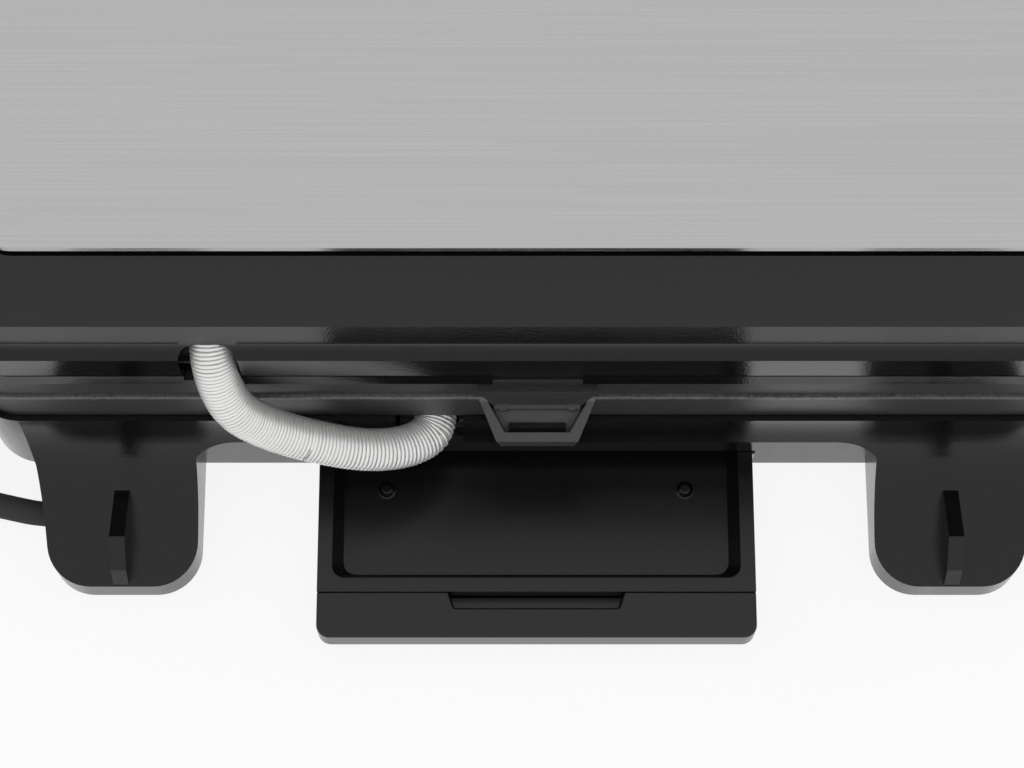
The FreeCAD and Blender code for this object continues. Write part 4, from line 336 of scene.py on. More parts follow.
@dataclass(frozen=True)
class CoatedCasting(Finish):
    """Cast aluminium under a non-stick coating, with a painted highlight: a lighter pitted band between two
    heights.
    """

    bright: Colour = (0.5, 0.5, 0.5)
    highlight_low: float = 0.0
    highlight_high: float = 0.0

    def sockets(self, graph: Graph) -> dict:
        """Coarse and fine pitting, with a painted highlight: a band between two heights made lighter."""
        coarse = graph.noise(900.0, 4.0)
        fine = graph.noise(2600.0, 2.0)
        cloud = graph.noise(40.0, 3.0)
        pits = coarse * 0.65 + fine * 0.35
        base = graph.tint(pits, scaled(self.colour, 0.7), scaled(self.colour, 1.4))
        colour = base
        # painted highlight: a pitted band between the two heights takes the lighter colour, standing in for light
        # on the plate's top edge and rib tops
        if self.highlight_high > self.highlight_low:
            edge = 0.0006
            height = graph.axis("Z")
            band = graph.step(height, self.highlight_low - edge, self.highlight_low + edge)
            band = band * (1.0 - graph.step(height, self.highlight_high - edge, self.highlight_high + edge))
            painted_highlight = band * graph.step(pits + cloud * 0.4, 0.42, 0.82)
            mix = graph.node("ShaderNodeMix", {"data_type": "RGBA"},
                             {0: painted_highlight, 6: base, 7: (*self.bright, 1.0)})
            colour = graph.out(mix, 2)
        return {
            "Base Color": colour,
            "Metallic": 0.35,
            "Roughness": self.roughness + (cloud - 0.5) * 0.15 + (fine - 0.5) * 0.2,
            "Normal": graph.bump(pits, 0.00018),
        }


@dataclass(frozen=True)
class BareMetal(Finish):
    """Plain or plated metal with faint handling marks."""

    marks: float = 160.0
    metallic: float = 1.0
    heat: Colour | None = None

    def sockets(self, graph: Graph) -> dict:
        """Faint marks in the gloss, and a tint where heat has darkened the metal."""
        marks = graph.noise(self.marks, 4.0)
        cloud = graph.noise(18.0, 2.0)
        dark = self.heat or scaled(self.colour, 0.88)
        return {
            "Base Color": graph.tint(cloud, dark, self.colour),
            "Metallic": self.metallic,
            "Roughness": self.roughness + (marks - 0.5) * 0.14,
            "Normal": graph.bump(graph.noise(self.marks * 8.0, 2.0), 0.00002),
        }


@dataclass(frozen=True)
class SoftRubber(Finish):
    """Matt rubber with a dusty sheen."""

    sheen: float = 0.25

    def sockets(self, graph: Graph) -> dict:
        """Fine skin texture and a little dust."""
        skin = graph.noise(1700.0, 2.0)
        dust = graph.noise(60.0, 3.0)
        return {
            "Base Color": graph.tint(dust, scaled(self.colour, 0.8), scaled(self.colour, 1.5)),
            "Roughness": self.roughness + (dust - 0.5) * 0.12,
            "Normal": graph.bump(skin, 0.00005),
            "Sheen Weight": self.sheen,
        }


@dataclass(frozen=True)
class ClearLens(Finish):
    """Coloured clear plastic of a lamp."""

    def sockets(self, graph: Graph) -> dict:
        """Tinted and mostly clear, with a faint swirl."""
        swirl = graph.noise(420.0, 2.0)
        return {
            "Base Color": graph.tint(swirl, scaled(self.colour, 0.85), self.colour),
            "Roughness": self.roughness + swirl * 0.05,
            "Transmission Weight": 0.7,
        }


class Look(Enum):
    """Every finish of the grill."""

    CASE = Moulding("case_satin_black", (0.0045, 0.0045, 0.0047), 0.2, grain=0.0006, depth=0.00006, coat=0.1,
                    coat_roughness=0.12, streaks=0.16, specular=0.3)
    LID_CASE = Moulding("lid_satin_black", (0.0045, 0.0045, 0.0047), 0.13, grain=0.0007, depth=0.00004,
                        coat=0.05, coat_roughness=0.1, specular=0.25)
    PANEL = Moulding("panel_black", (0.016, 0.016, 0.017), 0.5, grain=0.0007)
    GRIP = Moulding("grip_black", (0.012, 0.012, 0.012), 0.34, depth=0.00002)
    TRAY = Moulding("tray_black", (0.0045, 0.0045, 0.0047), 0.24, depth=0.000012, specular=0.4)
    TERMINAL = Moulding("terminal_cream", (0.62, 0.6, 0.52), 0.45)
    MARKS = Moulding("dial_marks_white", (0.72, 0.72, 0.7), 0.5)
    COVER = BrushedSheet("cover_brushed_steel", (0.46, 0.46, 0.46), 0.17)
    # the lower plate's lighter band from 63.7 to 70 mm is a painted highlight on its top edge and rib tops
    LOWER_PLATE = CoatedCasting("lower_plate_coating", (0.055, 0.055, 0.057), 0.42,
                                bright=(0.16, 0.16, 0.16), highlight_low=0.0637, highlight_high=0.0700)
    UPPER_PLATE = CoatedCasting("upper_plate_coating", (0.035, 0.035, 0.036), 0.44)
    CONDUIT = BareMetal("conduit_bright_wire", (0.96, 0.96, 0.95), 0.36, marks=300.0, metallic=0.5)
    ZINC = BareMetal("screw_zinc", (0.62, 0.62, 0.63), 0.32)
    HINGE = Moulding("hinge_powder_black", (0.014, 0.014, 0.0145), 0.42, grain=0.0006, depth=0.00005)
    SHEET = BareMetal("reflector_sheet", (0.75, 0.75, 0.76), 0.28)
    DARK_SHEET = Moulding("base_sheet_black", (0.018, 0.018, 0.019), 0.5, grain=0.0006, depth=0.00004)
    ELEMENT = BareMetal("element_heated_steel", (0.36, 0.35, 0.33), 0.38, heat=(0.2, 0.16, 0.13))
    PINS = BareMetal("pin_nickel", (0.72, 0.71, 0.68), 0.18)
    RUBBER = SoftRubber("foot_rubber", (0.014, 0.014, 0.014), 0.8)
    CORD = SoftRubber("cord_rubber", (0.012, 0.012, 0.012), 0.52, sheen=0.1)
    SLEEVE = SoftRubber("lead_sleeve", (0.42, 0.4, 0.36), 0.75)
    RED = ClearLens("lamp_red", (0.8, 0.05, 0.04), 0.08)
    GREEN = ClearLens("lamp_green", (0.08, 0.6, 0.16), 0.08)

    @property
    def made(self) -> bpy.types.Material:
        """The material of this finish."""
        return self.value.material()


# ------------------------------------------------------------------ mesh helpers

def new_piece(name: str, mesh: bpy.types.Mesh, look: Look, body: str) -> bpy.types.Object:
    """Makes a piece that rides on a body.

    Args:
        name: Name of the piece.
        mesh: Its mesh, in place.
        look: Its finish.
        body: The body that it moves with.

    Returns:
        The new object.
    """
    piece = bpy.data.objects.new(name, mesh)
    bpy.context.scene.collection.objects.link(piece)
    piece.data.materials.clear()
    piece.data.materials.append(look.made)
    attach(piece, body)
    LOG.info("%s: %d faces on %s", name, len(mesh.polygons), body)
    return piece


def mesh_from(name: str, build: Callable[[bmesh.types.BMesh], None], smooth: float = 32.0) -> bpy.types.Mesh:
    """Runs a builder on an empty bmesh.

    Args:
        name: Name of the mesh.
        build: Fills the bmesh.
        smooth: Edges flatter than this angle are shaded smooth, in degrees.

    Returns:
        The finished mesh.
    """
    work = bmesh.new()
    build(work)
    shade(work, smooth)
    mesh = bpy.data.meshes.new(name)
    work.to_mesh(mesh)
    work.free()
    return mesh


def shade(work: bmesh.types.BMesh, smooth: float) -> None:
    """Shades faces smooth, with sharp edges where the surface turns more than an angle in degrees."""
    limit = math.radians(smooth)
    for face in work.faces:
        face.smooth = True
    for edge in work.edges:
        edge.smooth = len(edge.link_faces) == 2 and edge.calc_face_angle(0.0) < limit


def add_bevel(piece: bpy.types.Object, width: float, segments: int, angle: float) -> None:
    """Rounds a piece's sharp edges and evens its shading."""
    bevel = piece.modifiers.new("edge_rounding", "BEVEL")
    bevel.width = width
    bevel.segments = segments
    bevel.limit_method = "ANGLE"
    bevel.angle_limit = math.radians(angle)
    bevel.use_clamp_overlap = True
    bevel.miter_outer = "MITER_ARC"
    even = piece.modifiers.new("even_shading", "WEIGHTED_NORMAL")
    even.keep_sharp = True


@dataclass
class Dresser:
    """Finishes CAD nodes: as they are, or as softened copies that stand for them."""

    frame: dict
    slots: dict[str, str] = field(init=False)

    def __post_init__(self) -> None:
        """Reads each node's material slot from the record."""
        self.slots = {part["node"]: part["material_slot"] for part in self.frame["record"]["subparts"]}

    def paint(self, node: str, look: Look) -> bpy.types.Object:
        """Gives a CAD node a finish and leaves its shape."""
        found = self.frame["nodes"][node]
        for slot in found.material_slots:
            slot.material = look.made
        LOG.info("%s: keeps its solid", node)
        return found

    def soften(self, node: str, look: Look, width: float, segments: int = 2, angle: float = 30.0,
               crisp: Sequence[float] = ()) -> bpy.types.Object:
        """Replaces a node by a copy of it with rounded edges.

        Args:
            node: The CAD node.
            look: The finish of the copy.
            width: Width of the rounding.
            segments: Faces across the rounding.
            angle: Edges that turn more than this are rounded, in degrees.
            crisp: Heights at which level edges stay sharp.

        Returns:
            The piece that stands for the node.
        """
        source = self.frame["nodes"][node]
        work = bmesh.new()
        work.from_mesh(source.data)
        bmesh.ops.remove_doubles(work, verts=work.verts[:], dist=0.000002)
        bmesh.ops.dissolve_degenerate(work, edges=work.edges[:], dist=0.000002)
        bmesh.ops.dissolve_limit(work, angle_limit=math.radians(0.6), verts=work.verts[:],
                                 edges=work.edges[:])
        shade(work, angle)
        for edge in work.edges:
            if any(all(abs(vertex.co.z - level) < 0.05 * MM for vertex in edge.verts) for level in crisp):
                edge.smooth = False
        mesh = bpy.data.meshes.new(f"{node}_soft")
        work.to_mesh(mesh)
        work.free()
        piece = new_piece(f"{node}_soft", mesh, look, source["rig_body"])
        add_bevel(piece, width, segments, angle)
        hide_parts(node)
        return piece


def smooth_line(points: Sequence[Vector], resolution: int = 12) -> list[Vector]:
    """Points along the smooth curve that a route controls.

    Args:
        points: Control points.
        resolution: Steps for each stretch.

    Returns:
        The curve's points in order.
    """
    curve = route_curve("route_probe", points, 0.0)
    curve.resolution_u = resolution
    probe = bpy.data.objects.new("route_probe", curve)
    bpy.context.scene.collection.objects.link(probe)
    bpy.context.view_layer.update()
    line = bpy.data.meshes.new_from_object(probe.evaluated_get(bpy.context.evaluated_depsgraph_get()))
    found = [vertex.co.copy() for vertex in line.vertices]
    bpy.data.objects.remove(probe)
    bpy.data.meshes.remove(line)
    bpy.data.curves.remove(curve)
    return found


def route_curve(name: str, points: Sequence[Vector], radius: float) -> bpy.types.Curve:
    """A curve whose smooth line is controlled by a route."""
    curve = bpy.data.curves.new(name, "CURVE")
    curve.dimensions = "3D"
    curve.bevel_depth = radius
    curve.bevel_resolution = 4
    curve.resolution_u = 8
    curve.render_resolution_u = 8
    curve.use_fill_caps = True
    spline = curve.splines.new("NURBS")
    spline.points.add(len(points) - 1)
    for target, point in zip(spline.points, points):
        target.co = (*point, 1.0)
    spline.order_u = 3
    spline.use_endpoint_u = True
    return curve


# ------------------------------------------------------------------ sub-assemblies

@dataclass
class BaseCase:
    """Lower housing with its flared legs, its base sheet, feet and tray bay."""

    dresser: Dresser
    edge: float = 0.45 * MM
    sheet_edge: float = 0.3 * MM
    foot_edge: float = 0.7 * MM

    def build(self) -> None:
        """Dresses every part of the base case."""
        self.dresser.soften("lower_housing", Look.CASE, self.edge, 2)
        self.dresser.soften("bottom_cover", Look.DARK_SHEET, self.sheet_edge, 1)
        self.dresser.soften("rubber_feet", Look.RUBBER, self.foot_edge, 2)
        self.dresser.soften("tray_bay", Look.DARK_SHEET, self.sheet_edge, 1)
        self.dresser.soften("bottom_cover_screws", Look.ZINC, self.edge, 2)


@dataclass
class GrillPlates:
    """The two ribbed plates and what heats them."""

    dresser: Dresser
    edge: float = 0.6 * MM
    fine_edge: float = 0.2 * MM

    def build(self) -> None:
        """Dresses the plates, elements, reflectors and their screws."""
        self.dresser.soften("lower_grill_plate", Look.LOWER_PLATE, self.edge, 2)
        self.dresser.soften("upper_grill_plate", Look.UPPER_PLATE, self.edge, 2)
        for place in ("lower", "upper"):
            self.dresser.paint(f"{place}_heating_element", Look.ELEMENT)
            self.dresser.paint(f"{place}_reflector", Look.SHEET)
            self.dresser.soften(f"{place}_plate_screws", Look.ZINC, self.fine_edge, 1)


@dataclass
class DripDrawer:
    """The drip tray and its front piece."""

    dresser: Dresser
    edge: float = 0.5 * MM

    def build(self) -> None:
        """Dresses both pieces of the drawer."""
        self.dresser.soften("drip_tray", Look.TRAY, self.edge, 3)
        self.dresser.soften("drip_tray_front", Look.TRAY, self.edge, 3)


@dataclass
class LidShell:
    """Upper housing, steel cover and handle."""

    dresser: Dresser
    edge: float = 0.6 * MM
    cover_edge: float = 0.25 * MM
    bracket_edge: float = 0.8 * MM
    creases: tuple[float, ...] = (106.18 * MM, 117.58 * MM)
    grip_ring: float = 9.0 * MM
    ring_depth: float = 0.5 * MM
    ring_width: float = 1.1 * MM
    grip_segments: int = 64

    def build(self) -> None:
        """Dresses the shell and turns the grip."""
        self.dresser.soften("upper_housing", Look.LID_CASE, self.edge, 3, crisp=self.creases)
        self.dresser.soften("lid_cover", Look.COVER, self.cover_edge, 3, angle=15.0)
        for side in ("left", "right"):
            self.dresser.soften(f"handle_bracket_{side}", Look.HINGE, self.bracket_edge, 3)
        self.dresser.soften("handle_screws", Look.ZINC, self.cover_edge, 1)
        self.turn_grip()

    def turn_grip(self) -> bpy.types.Object:
        """Turns the grip as a bar with a ring groove near each end.

        Returns:
            The grip piece.
        """
        low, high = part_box("handle_grip")
        radius = (high.z - low.z) / 2
        half = (high.x - low.x) / 2
        centre = (low + high) / 2
        rounding = 5.0 * MM
        steps = 6
        profile = [(half, 0.0)]
        for step in range(steps + 1):
            turn = math.pi / 2 * step / steps
            profile.append((half - rounding + rounding * math.cos(turn),
                            radius - rounding + rounding * math.sin(turn)))
        groove = half - self.grip_ring
        profile += [(groove + self.ring_width, radius), (groove + self.ring_width * 0.6, radius - self.ring_depth),
                    (groove - self.ring_width * 0.6, radius - self.ring_depth),
                    (groove - self.ring_width, radius)]
        profile += [(-along, out) for along, out in reversed(profile)]

        def build(work: bmesh.types.BMesh) -> None:
            """Spins the profile round the bar's own axis."""
            spin_profile(work, profile, centre, Vector((1, 0, 0)), Vector((0, 0, 1)), self.grip_segments)

        piece = new_piece("handle_grip_turned", mesh_from("handle_grip_turned", build), Look.GRIP,
                          self.dresser.frame["nodes"]["handle_grip"]["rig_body"])
        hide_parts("handle_grip")
        return piece


def spin_profile(work: bmesh.types.BMesh, profile: Sequence[tuple[float, float]], centre: Vector,
                 along: Vector, out: Vector, segments: int) -> None:
    """Spins an open profile into a closed turned shape.

    Args:
        work: The bmesh that receives it.
        profile: Pairs of distance along the axis and distance from it; both ends lie on the axis.
        centre: A point on the axis.
        along: Direction of the axis.
        out: Direction from the axis to the profile.
        segments: Faces round the axis.
    """
    points = [work.verts.new(centre + along * far + out * away) for far, away in profile]
    edges = [work.edges.new(pair) for pair in zip(points, points[1:])]
    bmesh.ops.spin(work, geom=points + edges, cent=centre, axis=along, angle=math.tau, steps=segments,
                   use_merge=True)
    bmesh.ops.remove_doubles(work, verts=work.verts[:], dist=0.000005)
    bmesh.ops.recalc_face_normals(work, faces=work.faces[:])


@dataclass
class HingeSet:
    """Towers, slide blocks, pins and arms of the floating hinge."""

    dresser: Dresser
    edge: float = 0.6 * MM

    def build(self) -> None:
        """Dresses both sides of the hinge."""
        for side in ("left", "right"):
            self.dresser.soften(f"hinge_tower_{side}", Look.HINGE, self.edge, 3)
            self.dresser.soften(f"hinge_arm_{side}", Look.HINGE, self.edge / 2, 2)
            self.dresser.soften(f"hinge_slide_{side}", Look.PANEL, self.edge / 2, 2)
            self.dresser.soften(f"hinge_pin_{side}", Look.PINS, self.edge / 2, 2)
        self.dresser.soften("hinge_tower_screws", Look.ZINC, self.edge / 2, 2)
        self.dresser.soften("hinge_arm_screws", Look.ZINC, self.edge / 2, 2)


@dataclass
class ControlFront:
    """Panel, knob, lamps and the printed marks of the dial."""

    dresser: Dresser
    mark_count: int = 11
    sweep: float = 270.0
    mark_radius: float = 20.5 * MM
    mark_length: float = 3.0 * MM
    mark_width: float = 0.8 * MM
    mark_height: float = 0.12 * MM
    pointer_length: float = 7.0 * MM
    edge: float = 0.5 * MM

    def build(self) -> None:
        """Dresses the panel and prints its marks."""
        self.dresser.soften("control_panel", Look.PANEL, self.edge, 2)
        self.dresser.soften("thermostat_knob", Look.GRIP, self.edge * 1.6, 3)
        self.dresser.paint("thermostat_spindle", Look.PINS)
        self.dresser.paint("power_lamp", Look.RED)
        self.dresser.paint("ready_lamp", Look.GREEN)
        self.print_marks()
        self.print_pointer()

    def bar(self, work: bmesh.types.BMesh, place: Matrix, width: float, height: float, length: float) -> None:
        """Adds one thin printed bar, placed by a matrix."""
        size = Matrix.Diagonal((width, height, length, 1.0))
        bmesh.ops.create_cube(work, size=1.0, matrix=place @ size)

    def print_marks(self) -> bpy.types.Object:
        """Prints the dial's marks round the knob.

        Returns:
            The piece that holds every mark.
        """
        low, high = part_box("thermostat_knob")
        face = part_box("control_panel")[0].y
        middle = (low + high) / 2

        def build(work: bmesh.types.BMesh) -> None:
            """Repeats one bar round the dial, longer at both ends."""
            for number in range(self.mark_count):
                turn = math.radians(-self.sweep / 2 + self.sweep * number / (self.mark_count - 1))
                ends = number in (0, self.mark_count - 1)
                length = self.mark_length * (1.5 if ends else 1.0)
                place = (Matrix.Translation((middle.x, face - self.mark_height / 2, middle.z))
                         @ Matrix.Rotation(turn, 4, "Y")
                         @ Matrix.Translation((0.0, 0.0, self.mark_radius + length / 2)))
                self.bar(work, place, self.mark_width, self.mark_height, length)

        return new_piece("dial_marks", mesh_from("dial_marks", build), Look.MARKS, "base")

    def print_pointer(self) -> bpy.types.Object:
        """Prints the pointer line on top of the knob's ridge.

        Returns:
            The pointer piece.
        """
        low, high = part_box("thermostat_knob")
        middle = (low + high) / 2

        def build(work: bmesh.types.BMesh) -> None:
            """One bar near the rim of the ridge."""
            level = high.z - 1.6 * MM - self.pointer_length / 2
            place = Matrix.Translation((middle.x, low.y - self.mark_height / 2, level))
            self.bar(work, place, self.mark_width * 1.4, self.mark_height, self.pointer_length)

        return new_piece("knob_pointer", mesh_from("knob_pointer", build), Look.MARKS, "knob")


@dataclass
class SprungConduit:
    """Close-wound wire conduit that carries the leads from the base to the lid."""

    dresser: Dresser
    outer: float = 6.7 * MM
    wire: float = 0.62 * MM
    pitch: float = 1.22 * MM
    core: float = 5.6 * MM
    steps: int = 16
    route: tuple[Point, ...] = (
        (95.5, 90.0, 106.5), (95.4, 99.4, 104.0), (95.4, 108.1, 97.2), (94.4, 114.5, 87.6),
        (90.9, 119.9, 77.4), (84.7, 121.8, 68.8), (75.4, 123.2, 61.0), (64.6, 124.2, 55.0),
        (53.8, 124.7, 50.2), (44.4, 123.3, 46.2), (36.6, 120.1, 42.8), (31.0, 114.6, 40.6),
        (31.0, 103.4, 40.6))
    split_after: int = 6

    def build(self) -> None:
        """Winds the wire and makes its two halves."""
        controls = [Vector(point) * MM for point in self.route]
        split = (controls[self.split_after] + controls[self.split_after + 1]) / 2
        centres, frames = self.march(smooth_line(controls))
        cut = min(range(len(centres)), key=lambda index: (centres[index] - split).length)
        halves = (("upper", slice(0, cut + 1), "hinge_carriage", "lid", (95.0, 112.0, 94.0)),
                  ("lower", slice(cut, len(centres)), "hinge_carriage", "base", (36.0, 118.0, 43.0)))
        for name, part, near, far, goal in halves:
            node = f"conduit_{name}_half"
            piece = self.half(name, centres[part], frames[part])
            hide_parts(node)
            tuple(value * MM for value in goal)
            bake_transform(piece)
        self.dresser.soften("conduit_clamp", Look.PANEL, 0.5 * MM, 2)
        self.dresser.soften("conduit_grommet", Look.PANEL, 0.3 * MM, 2)

    def march(self, line: Sequence[Vector]) -> tuple[list[Vector], list[Vector]]:
        """Walks the centre line in equal steps.

        Args:
            line: Points along the centre line.

        Returns:
            The places of the steps and, at each, a direction across the line that doesn't twist.
        """
        step = self.pitch / self.steps
        places = [line[0].copy()]
        left = step
        for start, end in zip(line, line[1:]):
            span = (end - start).length
            way = (end - start) / span if span else Vector()
            gone = left
            while gone <= span:
                places.append(start + way * gone)
                gone += step
            left = gone - span
        across = (places[1] - places[0]).orthogonal().normalized()
        frames = []
        for index in range(len(places)):
            near, far = places[max(0, index - 1)], places[min(len(places) - 1, index + 1)]
            along = (far - near).normalized()
            across = (across - along * across.dot(along)).normalized()
            frames.append(across.copy())
        return places, frames

    def half(self, name: str, centres: list[Vector], frames: list[Vector]) -> bpy.types.Object:
        """Makes one half: its wound wire and the sleeve inside it.

        Args:
            name: Which half.
            centres: Steps along the centre line.
            frames: Directions across the line at each step.

        Returns:
            The piece of this half.
        """
        radius = self.outer - self.wire
        turns = []
        for index, (centre, across) in enumerate(zip(centres, frames)):
            near, far = centres[max(0, index - 1)], centres[min(len(centres) - 1, index + 1)]
            along = (far - near).normalized()
            angle = math.tau * index / self.steps
            side = along.cross(across)
            turns.append(centre + (across * math.cos(angle) + side * math.sin(angle)) * radius)
        wire = tube_mesh(f"conduit_{name}_wire", turns, self.wire, 1)
        sleeve = tube_mesh(f"conduit_{name}_sleeve", centres[::self.steps // 2], self.core, 4)
        work = bmesh.new()
        work.from_mesh(wire)
        first = len(work.faces)
        work.from_mesh(sleeve)
        for number, face in enumerate(work.faces):
            face.smooth = True
            face.material_index = int(number >= first)
        work.to_mesh(wire)
        work.free()
        bpy.data.meshes.remove(sleeve)
        piece = bpy.data.objects.new(f"conduit_{name}_spring", wire)
        bpy.context.scene.collection.objects.link(piece)
        piece.data.materials.clear()
        piece.data.materials.append(Look.CONDUIT.made)
        piece.data.materials.append(Look.CORD.made)
        LOG.info("conduit %s half: %d steps of wire", name, len(turns))
        return piece


def tube_mesh(name: str, points: Sequence[Vector], radius: float, resolution: int) -> bpy.types.Mesh:
    """A closed tube along points.

    Args:
        name: Name of the mesh.
        points: The places that the tube passes.
        radius: Its radius.
        resolution: The curve's bevel resolution.

    Returns:
        The tube's mesh.
    """
    curve = bpy.data.curves.new(name, "CURVE")
    curve.dimensions = "3D"
    curve.bevel_depth = radius
    curve.bevel_resolution = resolution
    curve.use_fill_caps = True
    spline = curve.splines.new("POLY")
    spline.points.add(len(points) - 1)
    for target, point in zip(spline.points, points):
        target.co = (*point, 1.0)
    holder = bpy.data.objects.new(name, curve)
    bpy.context.scene.collection.objects.link(holder)
    bpy.context.view_layer.update()
    mesh = bpy.data.meshes.new_from_object(holder.evaluated_get(bpy.context.evaluated_depsgraph_get()))
    mesh.name = name
    bpy.data.objects.remove(holder)
    bpy.data.curves.remove(curve)
    return mesh


@dataclass
class MainsLead:
    """Mains cord with its strain relief, coil and plug."""

    dresser: Dresser
    radius: float = 4.1 * MM
    route: tuple[Point, ...] = (
        (147.0, 134.3, 9.4), (157.5, 134.2, 9.0), (168.5, 131.6, 7.8), (180.0, 128.4, 6.0),
        (194.0, 126.6, 4.8), (212.0, 126.4, 4.2), (232.0, 127.6, 4.2), (254.0, 128.9, 4.2),
        (277.0, 129.3, 4.2))
    tail: tuple[Point, ...] = (
        (286.0, 32.7, 11.5), (271.5, 33.3, 12.6), (257.5, 33.1, 13.4), (243.0, 33.0, 13.6))
    coil_place: Point = (300.0, 79.0, 4.2)
    coil_radius: float = 46.0
    turn_points: int = 16
    turns: float = 2.5
    relief_rings: int = 7
    relief_root: float = 5.7 * MM
    relief_tip: float = 4.75 * MM
    ring_cut: float = 0.8 * MM

    def coil(self) -> list[Vector]:
        """Points of the coil's turns: an outer one, an inner one, and half a turn on top."""
        cord = self.radius / MM
        outer, inner, middle = self.coil_radius + cord, self.coil_radius - cord, self.coil_radius
        floor, climb, top = self.coil_place[2], self.coil_place[2] + 1.35 * cord, 11.3
        keys = ((0.0, outer, floor), (0.74, outer, floor), (0.88, inner, floor), (1.55, inner, floor),
                (1.64, inner + 0.4, climb), (1.74, middle, top + 1.3), (1.9, middle, top + 0.9),
                (2.05, middle, top), (2.5, middle, top))
        count = round(self.turns * self.turn_points)
        wide = 1.0 / (0.75 + 0.25 * math.cos(math.tau / self.turn_points))
        points = []
        for number in range(1, count):
            turn = number / self.turn_points
            reach, level = self.between(keys, turn)
            angle = math.pi / 2 - math.tau * turn
            points.append(Vector((self.coil_place[0] + reach * wide * math.cos(angle),
                                  self.coil_place[1] + reach * wide * math.sin(angle), level)) * MM)
        return points

    @staticmethod
    def between(keys: Sequence[Point], turn: float) -> tuple[float, float]:
        """Reach and level at a number of turns, between the keys."""
        for near, far in zip(keys, keys[1:]):
            if turn <= far[0]:
                share = (turn - near[0]) / (far[0] - near[0])
                return near[1] + (far[1] - near[1]) * share, near[2] + (far[2] - near[2]) * share
        return keys[-1][1], keys[-1][2]

    def build(self) -> None:
        """Lays the cord and dresses what is on it."""
        points = [Vector(point) * MM for point in self.route] + self.coil()
        points += [Vector(point) * MM for point in self.tail]
        curve = route_curve("mains_cord_laid", points, self.radius)
        cord = bpy.data.objects.new("mains_cord_laid", curve)
        bpy.context.scene.collection.objects.link(cord)
        curve.materials.append(Look.CORD.made)
        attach(cord, "base")
        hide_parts("mains_cord", "cord_coil", "mains_cord_tail")
        line = smooth_line(points)
        length = sum((b - a).length for a, b in zip(line, line[1:]))
        LOG.info("mains cord: %.3f m on %d points", length, len(points))
        plug = self.dresser.soften("mains_plug", Look.CORD, 3.2 * MM, 4)
        pins = self.dresser.soften("plug_pins", Look.PINS, 0.8 * MM, 2)
        self.dresser.soften("cord_gland", Look.PANEL, 0.5 * MM, 2)
        self.turn_relief()

    def turn_relief(self) -> bpy.types.Object:
        """Turns the tapered strain relief with its flex rings.

        Returns:
            The strain relief piece.
        """
        low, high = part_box("cord_strain_relief")
        centre = Vector((low.x, (low.y + high.y) / 2, (low.z + high.z) / 2))
        length = high.x - low.x
        profile = [(0.0, 0.0), (0.0, self.relief_root)]
        pitch = length * 0.86 / self.relief_rings
        for ring in range(self.relief_rings):
            start = length * 0.1 + ring * pitch
            for part, cut in ((0.0, 0.0), (0.15, self.ring_cut), (0.4, self.ring_cut), (0.55, 0.0)):
                far = start + pitch * part
                radius = self.relief_root + (self.relief_tip - self.relief_root) * far / length
                profile.append((far, radius - cut))
        profile += [(length, self.relief_tip), (length, 0.0)]

        def build(work: bmesh.types.BMesh) -> None:
            """Spins the relief round the cord's axis."""
            spin_profile(work, profile, centre, Vector((1, 0, 0)), Vector((0, 0, 1)), 40)

        piece = new_piece("strain_relief_turned", mesh_from("strain_relief_turned", build), Look.CORD, "base")
        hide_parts("cord_strain_relief")
        return piece


@dataclass
class InnerWorks:
    """What stands inside the housings."""

    dresser: Dresser

    def build(self) -> None:
        """Dresses the controls and leads inside."""
        self.dresser.soften("thermostat", Look.SHEET, 0.4 * MM, 1)
        self.dresser.soften("terminal_block", Look.TERMINAL, 0.6 * MM, 2)
        self.dresser.soften("thermal_cutout", Look.ZINC, 0.4 * MM, 2)
        for lead in ("mains_lead", "conduit_lead", "thermostat_lead", "head_lead"):
            self.dresser.paint(lead, Look.SLEEVE)


# ------------------------------------------------------------------ studio

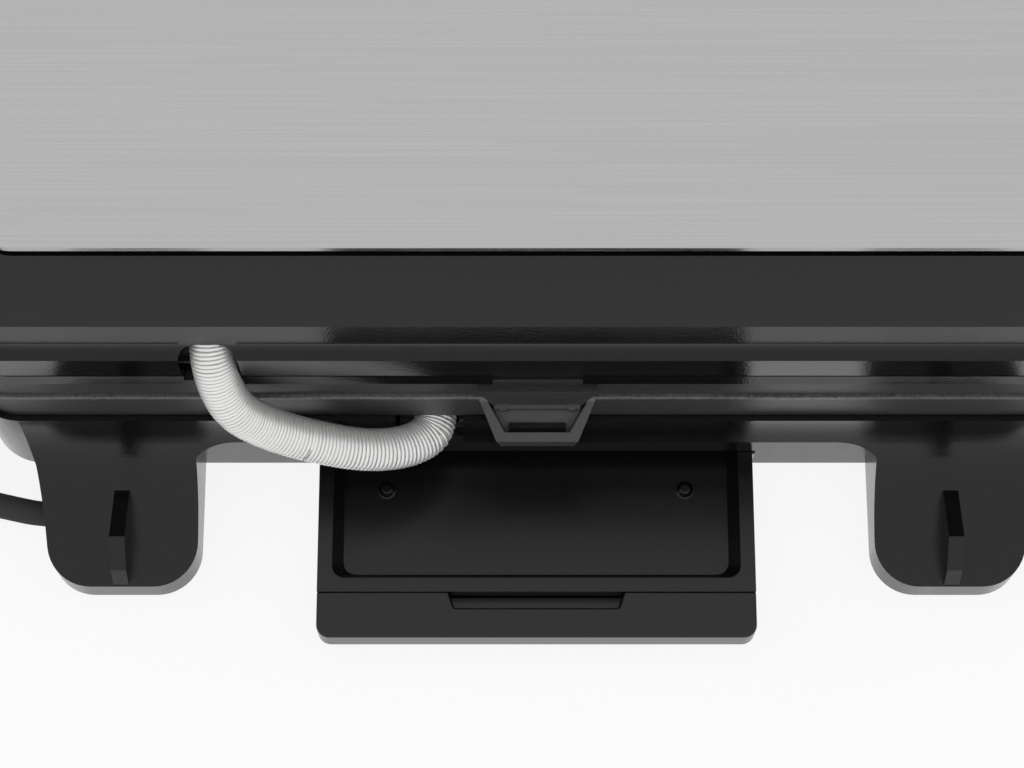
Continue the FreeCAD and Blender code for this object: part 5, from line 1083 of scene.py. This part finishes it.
@dataclass
class Studio:
    """Pale floor, soft light from above and the camera."""

    camera_place: Point = (7.7 * MM, 351.7 * MM, 814.3 * MM)
    elevation: float = 72.0
    focal: float = 2600.0
    image_width: float = 1024.0
    sensor: float = 36.0
    floor_half: float = 3.0
    main_level: float = 0.9
    side_level: float = 0.6
    room_level: float = 0.6
    paper: float = 0.9
    fill: float = 0.88

    def build(self) -> None:
        """Makes the stage."""
        self.floor()
        self.world()
        self.softbox("overhead_softbox", (0.0, -0.22, 1.75), (2.2, 2.15), self.main_level)
        self.softbox("side_softbox", (1.62, -0.22, 1.70), (0.82, 2.15), self.side_level)
        self.camera()
        bpy.context.scene.view_settings.view_transform = "Standard"

    def shows_backdrop(self, graph: Graph) -> Signal:
        """Picks the rays that see the white backdrop: from the camera, off polish and through glass.

        Args:
            graph: The material's or world's graph.

        Returns:
            One for such a ray, nought for the rest.
        """
        rays = graph.node("ShaderNodeLightPath")
        camera = graph.out(rays, "Is Camera Ray")
        glossy = graph.out(rays, "Is Glossy Ray")
        clear = graph.out(rays, "Is Transmission Ray")
        return camera.maths("MAXIMUM", glossy.maths("MAXIMUM", clear))

    def floor(self) -> None:
        """A plain white floor that keeps the object's shadow."""
        def build(work: bmesh.types.BMesh) -> None:
            """One large square."""
            bmesh.ops.create_grid(work, x_segments=1, y_segments=1, size=self.floor_half)

        mesh = mesh_from("floor", build)
        floor = bpy.data.objects.new("floor", mesh)
        bpy.context.scene.collection.objects.link(floor)
        made = bpy.data.materials.new("floor_pale")
        made.use_nodes = True
        graph = Graph(made.node_tree)
        shade = (self.paper, self.paper, self.paper, 1.0)
        paper = graph.node("ShaderNodeBsdfDiffuse", {}, {"Color": shade})
        seen = graph.node("ShaderNodeEmission", {}, {"Color": (1.0, 1.0, 1.0, 1.0), "Strength": 1.0})
        factor = self.shows_backdrop(graph) * self.fill
        mixed = graph.node("ShaderNodeMixShader", {}, {0: factor, 1: graph.out(paper), 2: graph.out(seen)})
        graph.node("ShaderNodeOutputMaterial", {}, {"Surface": graph.out(mixed)})
        floor.data.materials.append(made)

    def world(self) -> None:
        """A white backdrop that polish and glass show too, and a soft grey room for the light."""
        world = bpy.data.worlds.new("studio_room")
        bpy.context.scene.world = world
        world.use_nodes = True
        graph = Graph(world.node_tree)
        level = self.shows_backdrop(graph) * (1.0 - self.room_level) + self.room_level
        back = graph.node("ShaderNodeBackground", {}, {"Color": (1.0, 1.0, 1.0, 1.0), "Strength": level})
        graph.node("ShaderNodeOutputWorld", {}, {"Surface": graph.out(back)})

    def softbox(self, name: str, place: Point, size: tuple[float, float], level: float) -> None:
        """Hangs one softbox that shines down and isn't seen, by the camera or in polish.

        Args:
            name: Name of the lamp.
            place: Its middle.
            size: Its width and depth.
            level: How bright its face is, where 1 is white.
        """
        lamp = bpy.data.lights.new(name, "AREA")
        lamp.shape = "RECTANGLE"
        lamp.size, lamp.size_y = size
        lamp.energy = level * math.pi * size[0] * size[1]
        holder = bpy.data.objects.new(name, lamp)
        holder.location = place
        holder.visible_camera = False
        holder.visible_glossy = False
        bpy.context.scene.collection.objects.link(holder)

    def camera(self) -> None:
        """Sets the camera behind and above the grill."""
        tilt = math.radians(self.elevation)
        data = bpy.data.cameras.new("camera")
        data.sensor_width = self.sensor
        data.lens = self.focal / self.image_width * self.sensor
        holder = bpy.data.objects.new("camera", data)
        forward = Vector((0.0, -math.cos(tilt), -math.sin(tilt)))
        right = Vector((-1.0, 0.0, 0.0))
        up = right.cross(forward)
        turn = Matrix((right, up, -forward)).transposed().to_4x4()
        holder.matrix_world = Matrix.Translation(self.camera_place) @ turn
        bpy.context.scene.collection.objects.link(holder)
        bpy.context.scene.camera = holder


def main() -> None:
    """Builds the grill's visual model and its stage."""
    logging.basicConfig(level=logging.INFO, format="%(message)s")
    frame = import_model()
    dresser = Dresser(frame)
    Studio().build()
    MainsLead(dresser).build()
    SprungConduit(dresser).build()
    for kind in (BaseCase, GrillPlates, DripDrawer, LidShell, HingeSet, ControlFront, InnerWorks):
        LOG.info("%s", kind.__name__)
        kind(dresser).build()


if __name__ == "__main__":
    main()
